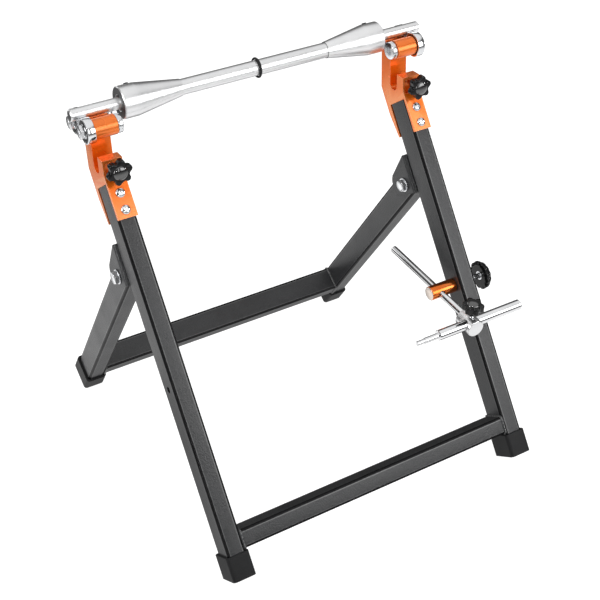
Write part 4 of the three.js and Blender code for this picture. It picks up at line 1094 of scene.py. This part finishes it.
def stepped_pointer():
    c = POINTER_CHAMFER
    stepped = lathe_x([
        (0, -TIP_REACH), (TIP_RADIUS - TIP_EDGE, -TIP_REACH), (TIP_RADIUS, -TIP_REACH + TIP_EDGE),
        (TIP_RADIUS, -TIP_STEP), (NECK_RADIUS - NECK_EDGE, -TIP_STEP), (NECK_RADIUS, -TIP_STEP + NECK_EDGE),
        (NECK_RADIUS, -NECK_REACH), (POINTER_RADIUS - c, -NECK_REACH), (POINTER_RADIUS, -NECK_REACH + c),
        (POINTER_RADIUS, OUTER_REACH - c), (POINTER_RADIUS - c, OUTER_REACH), (0, OUTER_REACH),
    ])
    return placed(stepped, shift(BLOCK_X, POINTER_Y, POINTER_LIFT))


def build_swivel():
    boss = piece("indicator_copper_boss", indicator_boss(), INDICATOR, "indicator_boss", COPPER,
                 "indicator_boss")
    face_ends(boss, COPPER_END)
    start = LEG_INSIDE - SEAT_GAP - IND_STUD_LAP
    stud = rod_x(IND_STUD_RADIUS, start, IND_OUTER + IND_STUD_END, STUD_EDGE)
    piece("indicator_through_stud", stud, INDICATOR, "indicator_boss", ZINC, "indicator_stud")
    piece("indicator_fluted_knob", indicator_knob(), INDICATOR, "indicator_knob", GLOSS, "indicator_knob",
          sharp=FLUTE_SHARP)
    bore, low, high = IND_STUD_RADIUS + TURN_GAP, KNOB_INNER, KNOB_INNER + INSERT_LENGTH
    profile = [(bore, low), (INSERT_RADIUS, low), (INSERT_RADIUS, high), (bore, high), (bore, low)]
    insert = lathe_x(profile, SMALL_ROUND)
    piece("indicator_knob_insert", insert, INDICATOR, "indicator_insert", ZINC, "indicator_insert")


def build_pointer():
    rod = placed(rod_y(ROD_RADIUS, -ROD_FRONT, ROD_BACK, ROD_CHAMFER), shift(ROD_X))
    piece("indicator_slide_rod", rod, ARM, "indicator_rod", CHROME, "indicator_rod")
    piece("pointer_swivel_block", pointer_block(), ARM, "pointer_block", ALUMINIUM, "pointer_block",
          edge=BLOCK_BEVEL)
    piece("pointer_stepped_rod", stepped_pointer(), ARM, "pointer_rod", CHROME, "pointer_rod")
    low = POINTER_LIFT + POINTER_RADIUS + SEAT_GAP
    high = BLOCK_RADIUS + SMALL_STAR_RISE
    stud = rod_z(POINTER_STUD_RADIUS, low, high + POINTER_KNOB_GRIP, SMALL_STUD_EDGE)
    place = ARM @ shift(BLOCK_X, POINTER_Y)
    piece("pointer_clamp_stud", stud, place, "pointer_stud", ZINC, "pointer_stud")
    top = shift(0, 0, high + knob_height(SMALL_STAR)) @ turn(POINTER_KNOB_TURN, "Z")
    piece("pointer_star", star_knob(**SMALL_STAR), place @ top, "pointer_knob", GLOSS, "pointer_knob",
          sharp=KNOB_SHARP)


def finish_cages():
    """The balls and cages are shut in behind the seals; they keep their own shape with a steel finish."""
    for side, _ in SIDES:
        for row, _ in ROWS:
            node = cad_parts[f"{side}_{row}_ball_cage"]
            node.data.materials.clear()
            node.data.materials.append(BRIGHT)


# Light, floor and camera
def build_world():
    """The studio that the metals mirror: light from above and below, and darkness round the horizon."""
    world = bpy.data.worlds.new("studio")
    bpy.context.scene.world = world
    world.use_nodes = True
    tree = world.node_tree
    direction = tree.nodes.new("ShaderNodeTexCoord").outputs["Generated"]
    upward = add_node(tree, "SeparateXYZ", {"Vector": direction}).outputs["Z"]
    height = add_node(tree, "ValToRGB", {"Fac": span(tree, upward, 0, 1, -1, 1)})
    steps = height.color_ramp.elements
    for number, (place, level) in enumerate(SKY_LEVELS):
        position = (place + 1) / 2
        step = steps[number] if number < 2 else steps.new(position)
        step.position = position
        step.color = (level, level, level, 1)
    aim = add_node(tree, "VectorMath", {0: direction, 1: Vector(REAR_AIM).normalized()})
    aim.operation = "DOT_PRODUCT"
    dimmed = span(tree, aim.outputs["Value"], 1, REAR_LEVEL, *REAR_SPAN)
    shade = product(tree, height.outputs["Color"], dimmed)
    connect(tree, tree.nodes["Background"], {"Color": shade})


def build_floor():
    """A pale floor that curves up into the walls and roof of a plain studio."""
    wall = STUDIO_REACH / MM
    roof = STUDIO_HEIGHT / MM
    flat = (wall * STUDIO_FLAT, 0)
    profile = [(0, 0), flat] + curve(flat, (wall, 0), (wall, roof / 2))
    profile += curve((wall, roof / 2), (wall, roof), (0, roof))
    mesh = mesh_of(placed(lathe(profile), Matrix.Scale(MM, 4)), "floor")
    floor = new_object(mesh, "floor")
    material, tree, shader = new_material("floor_white")
    connect(tree, shader, {
        "Base Color": (STUDIO_TONE, STUDIO_TONE, STUDIO_TONE, 1), "Roughness": FLOOR_ROUGHNESS,
        "Specular IOR Level": FLOOR_GLOSS, "Emission Color": (1, 1, 1, 1), "Emission Strength": STUDIO_GLOW,
    })
    mesh.materials.append(material)
    floor.visible_diffuse = floor.visible_glossy = floor.visible_shadow = False


def add_light(name, place, facing, size, power):
    data = bpy.data.lights.new(name, "AREA")
    data.shape = "RECTANGLE"
    data.size, data.size_y = size
    data.energy = power
    light = new_object(data, name)
    light.location = place
    light.rotation_mode = "QUATERNION"
    light.rotation_quaternion = Vector(facing).to_track_quat("-Z", "Y")


def build_camera():
    data = bpy.data.cameras.new("camera")
    data.sensor_width = CAMERA_SENSOR
    data.lens = CAMERA_LENS
    camera = new_object(data, "camera")
    facing = turn(-CAMERA_ROUND, "Z") @ turn(QUARTER - CAMERA_DOWN, "X") @ turn(CAMERA_ROLL, "Z")
    place = STAND @ shift(*CAMERA_AIM) @ facing @ shift(0, 0, CAMERA_DISTANCE)
    place.translation *= MM
    camera.matrix_world = place
    bpy.context.scene.camera = camera


for side_name, side_sign in SIDES:
    build_legs(side_name, side_sign)
build_crossbars()
build_pivots()
build_heads()
build_shaft()
build_swivel()
build_pointer()
finish_cages()
build_world()
build_floor()
for lamp in LIGHTS:
    add_light(*lamp)
build_camera()
bpy.context.scene.view_settings.view_transform = "Standard"
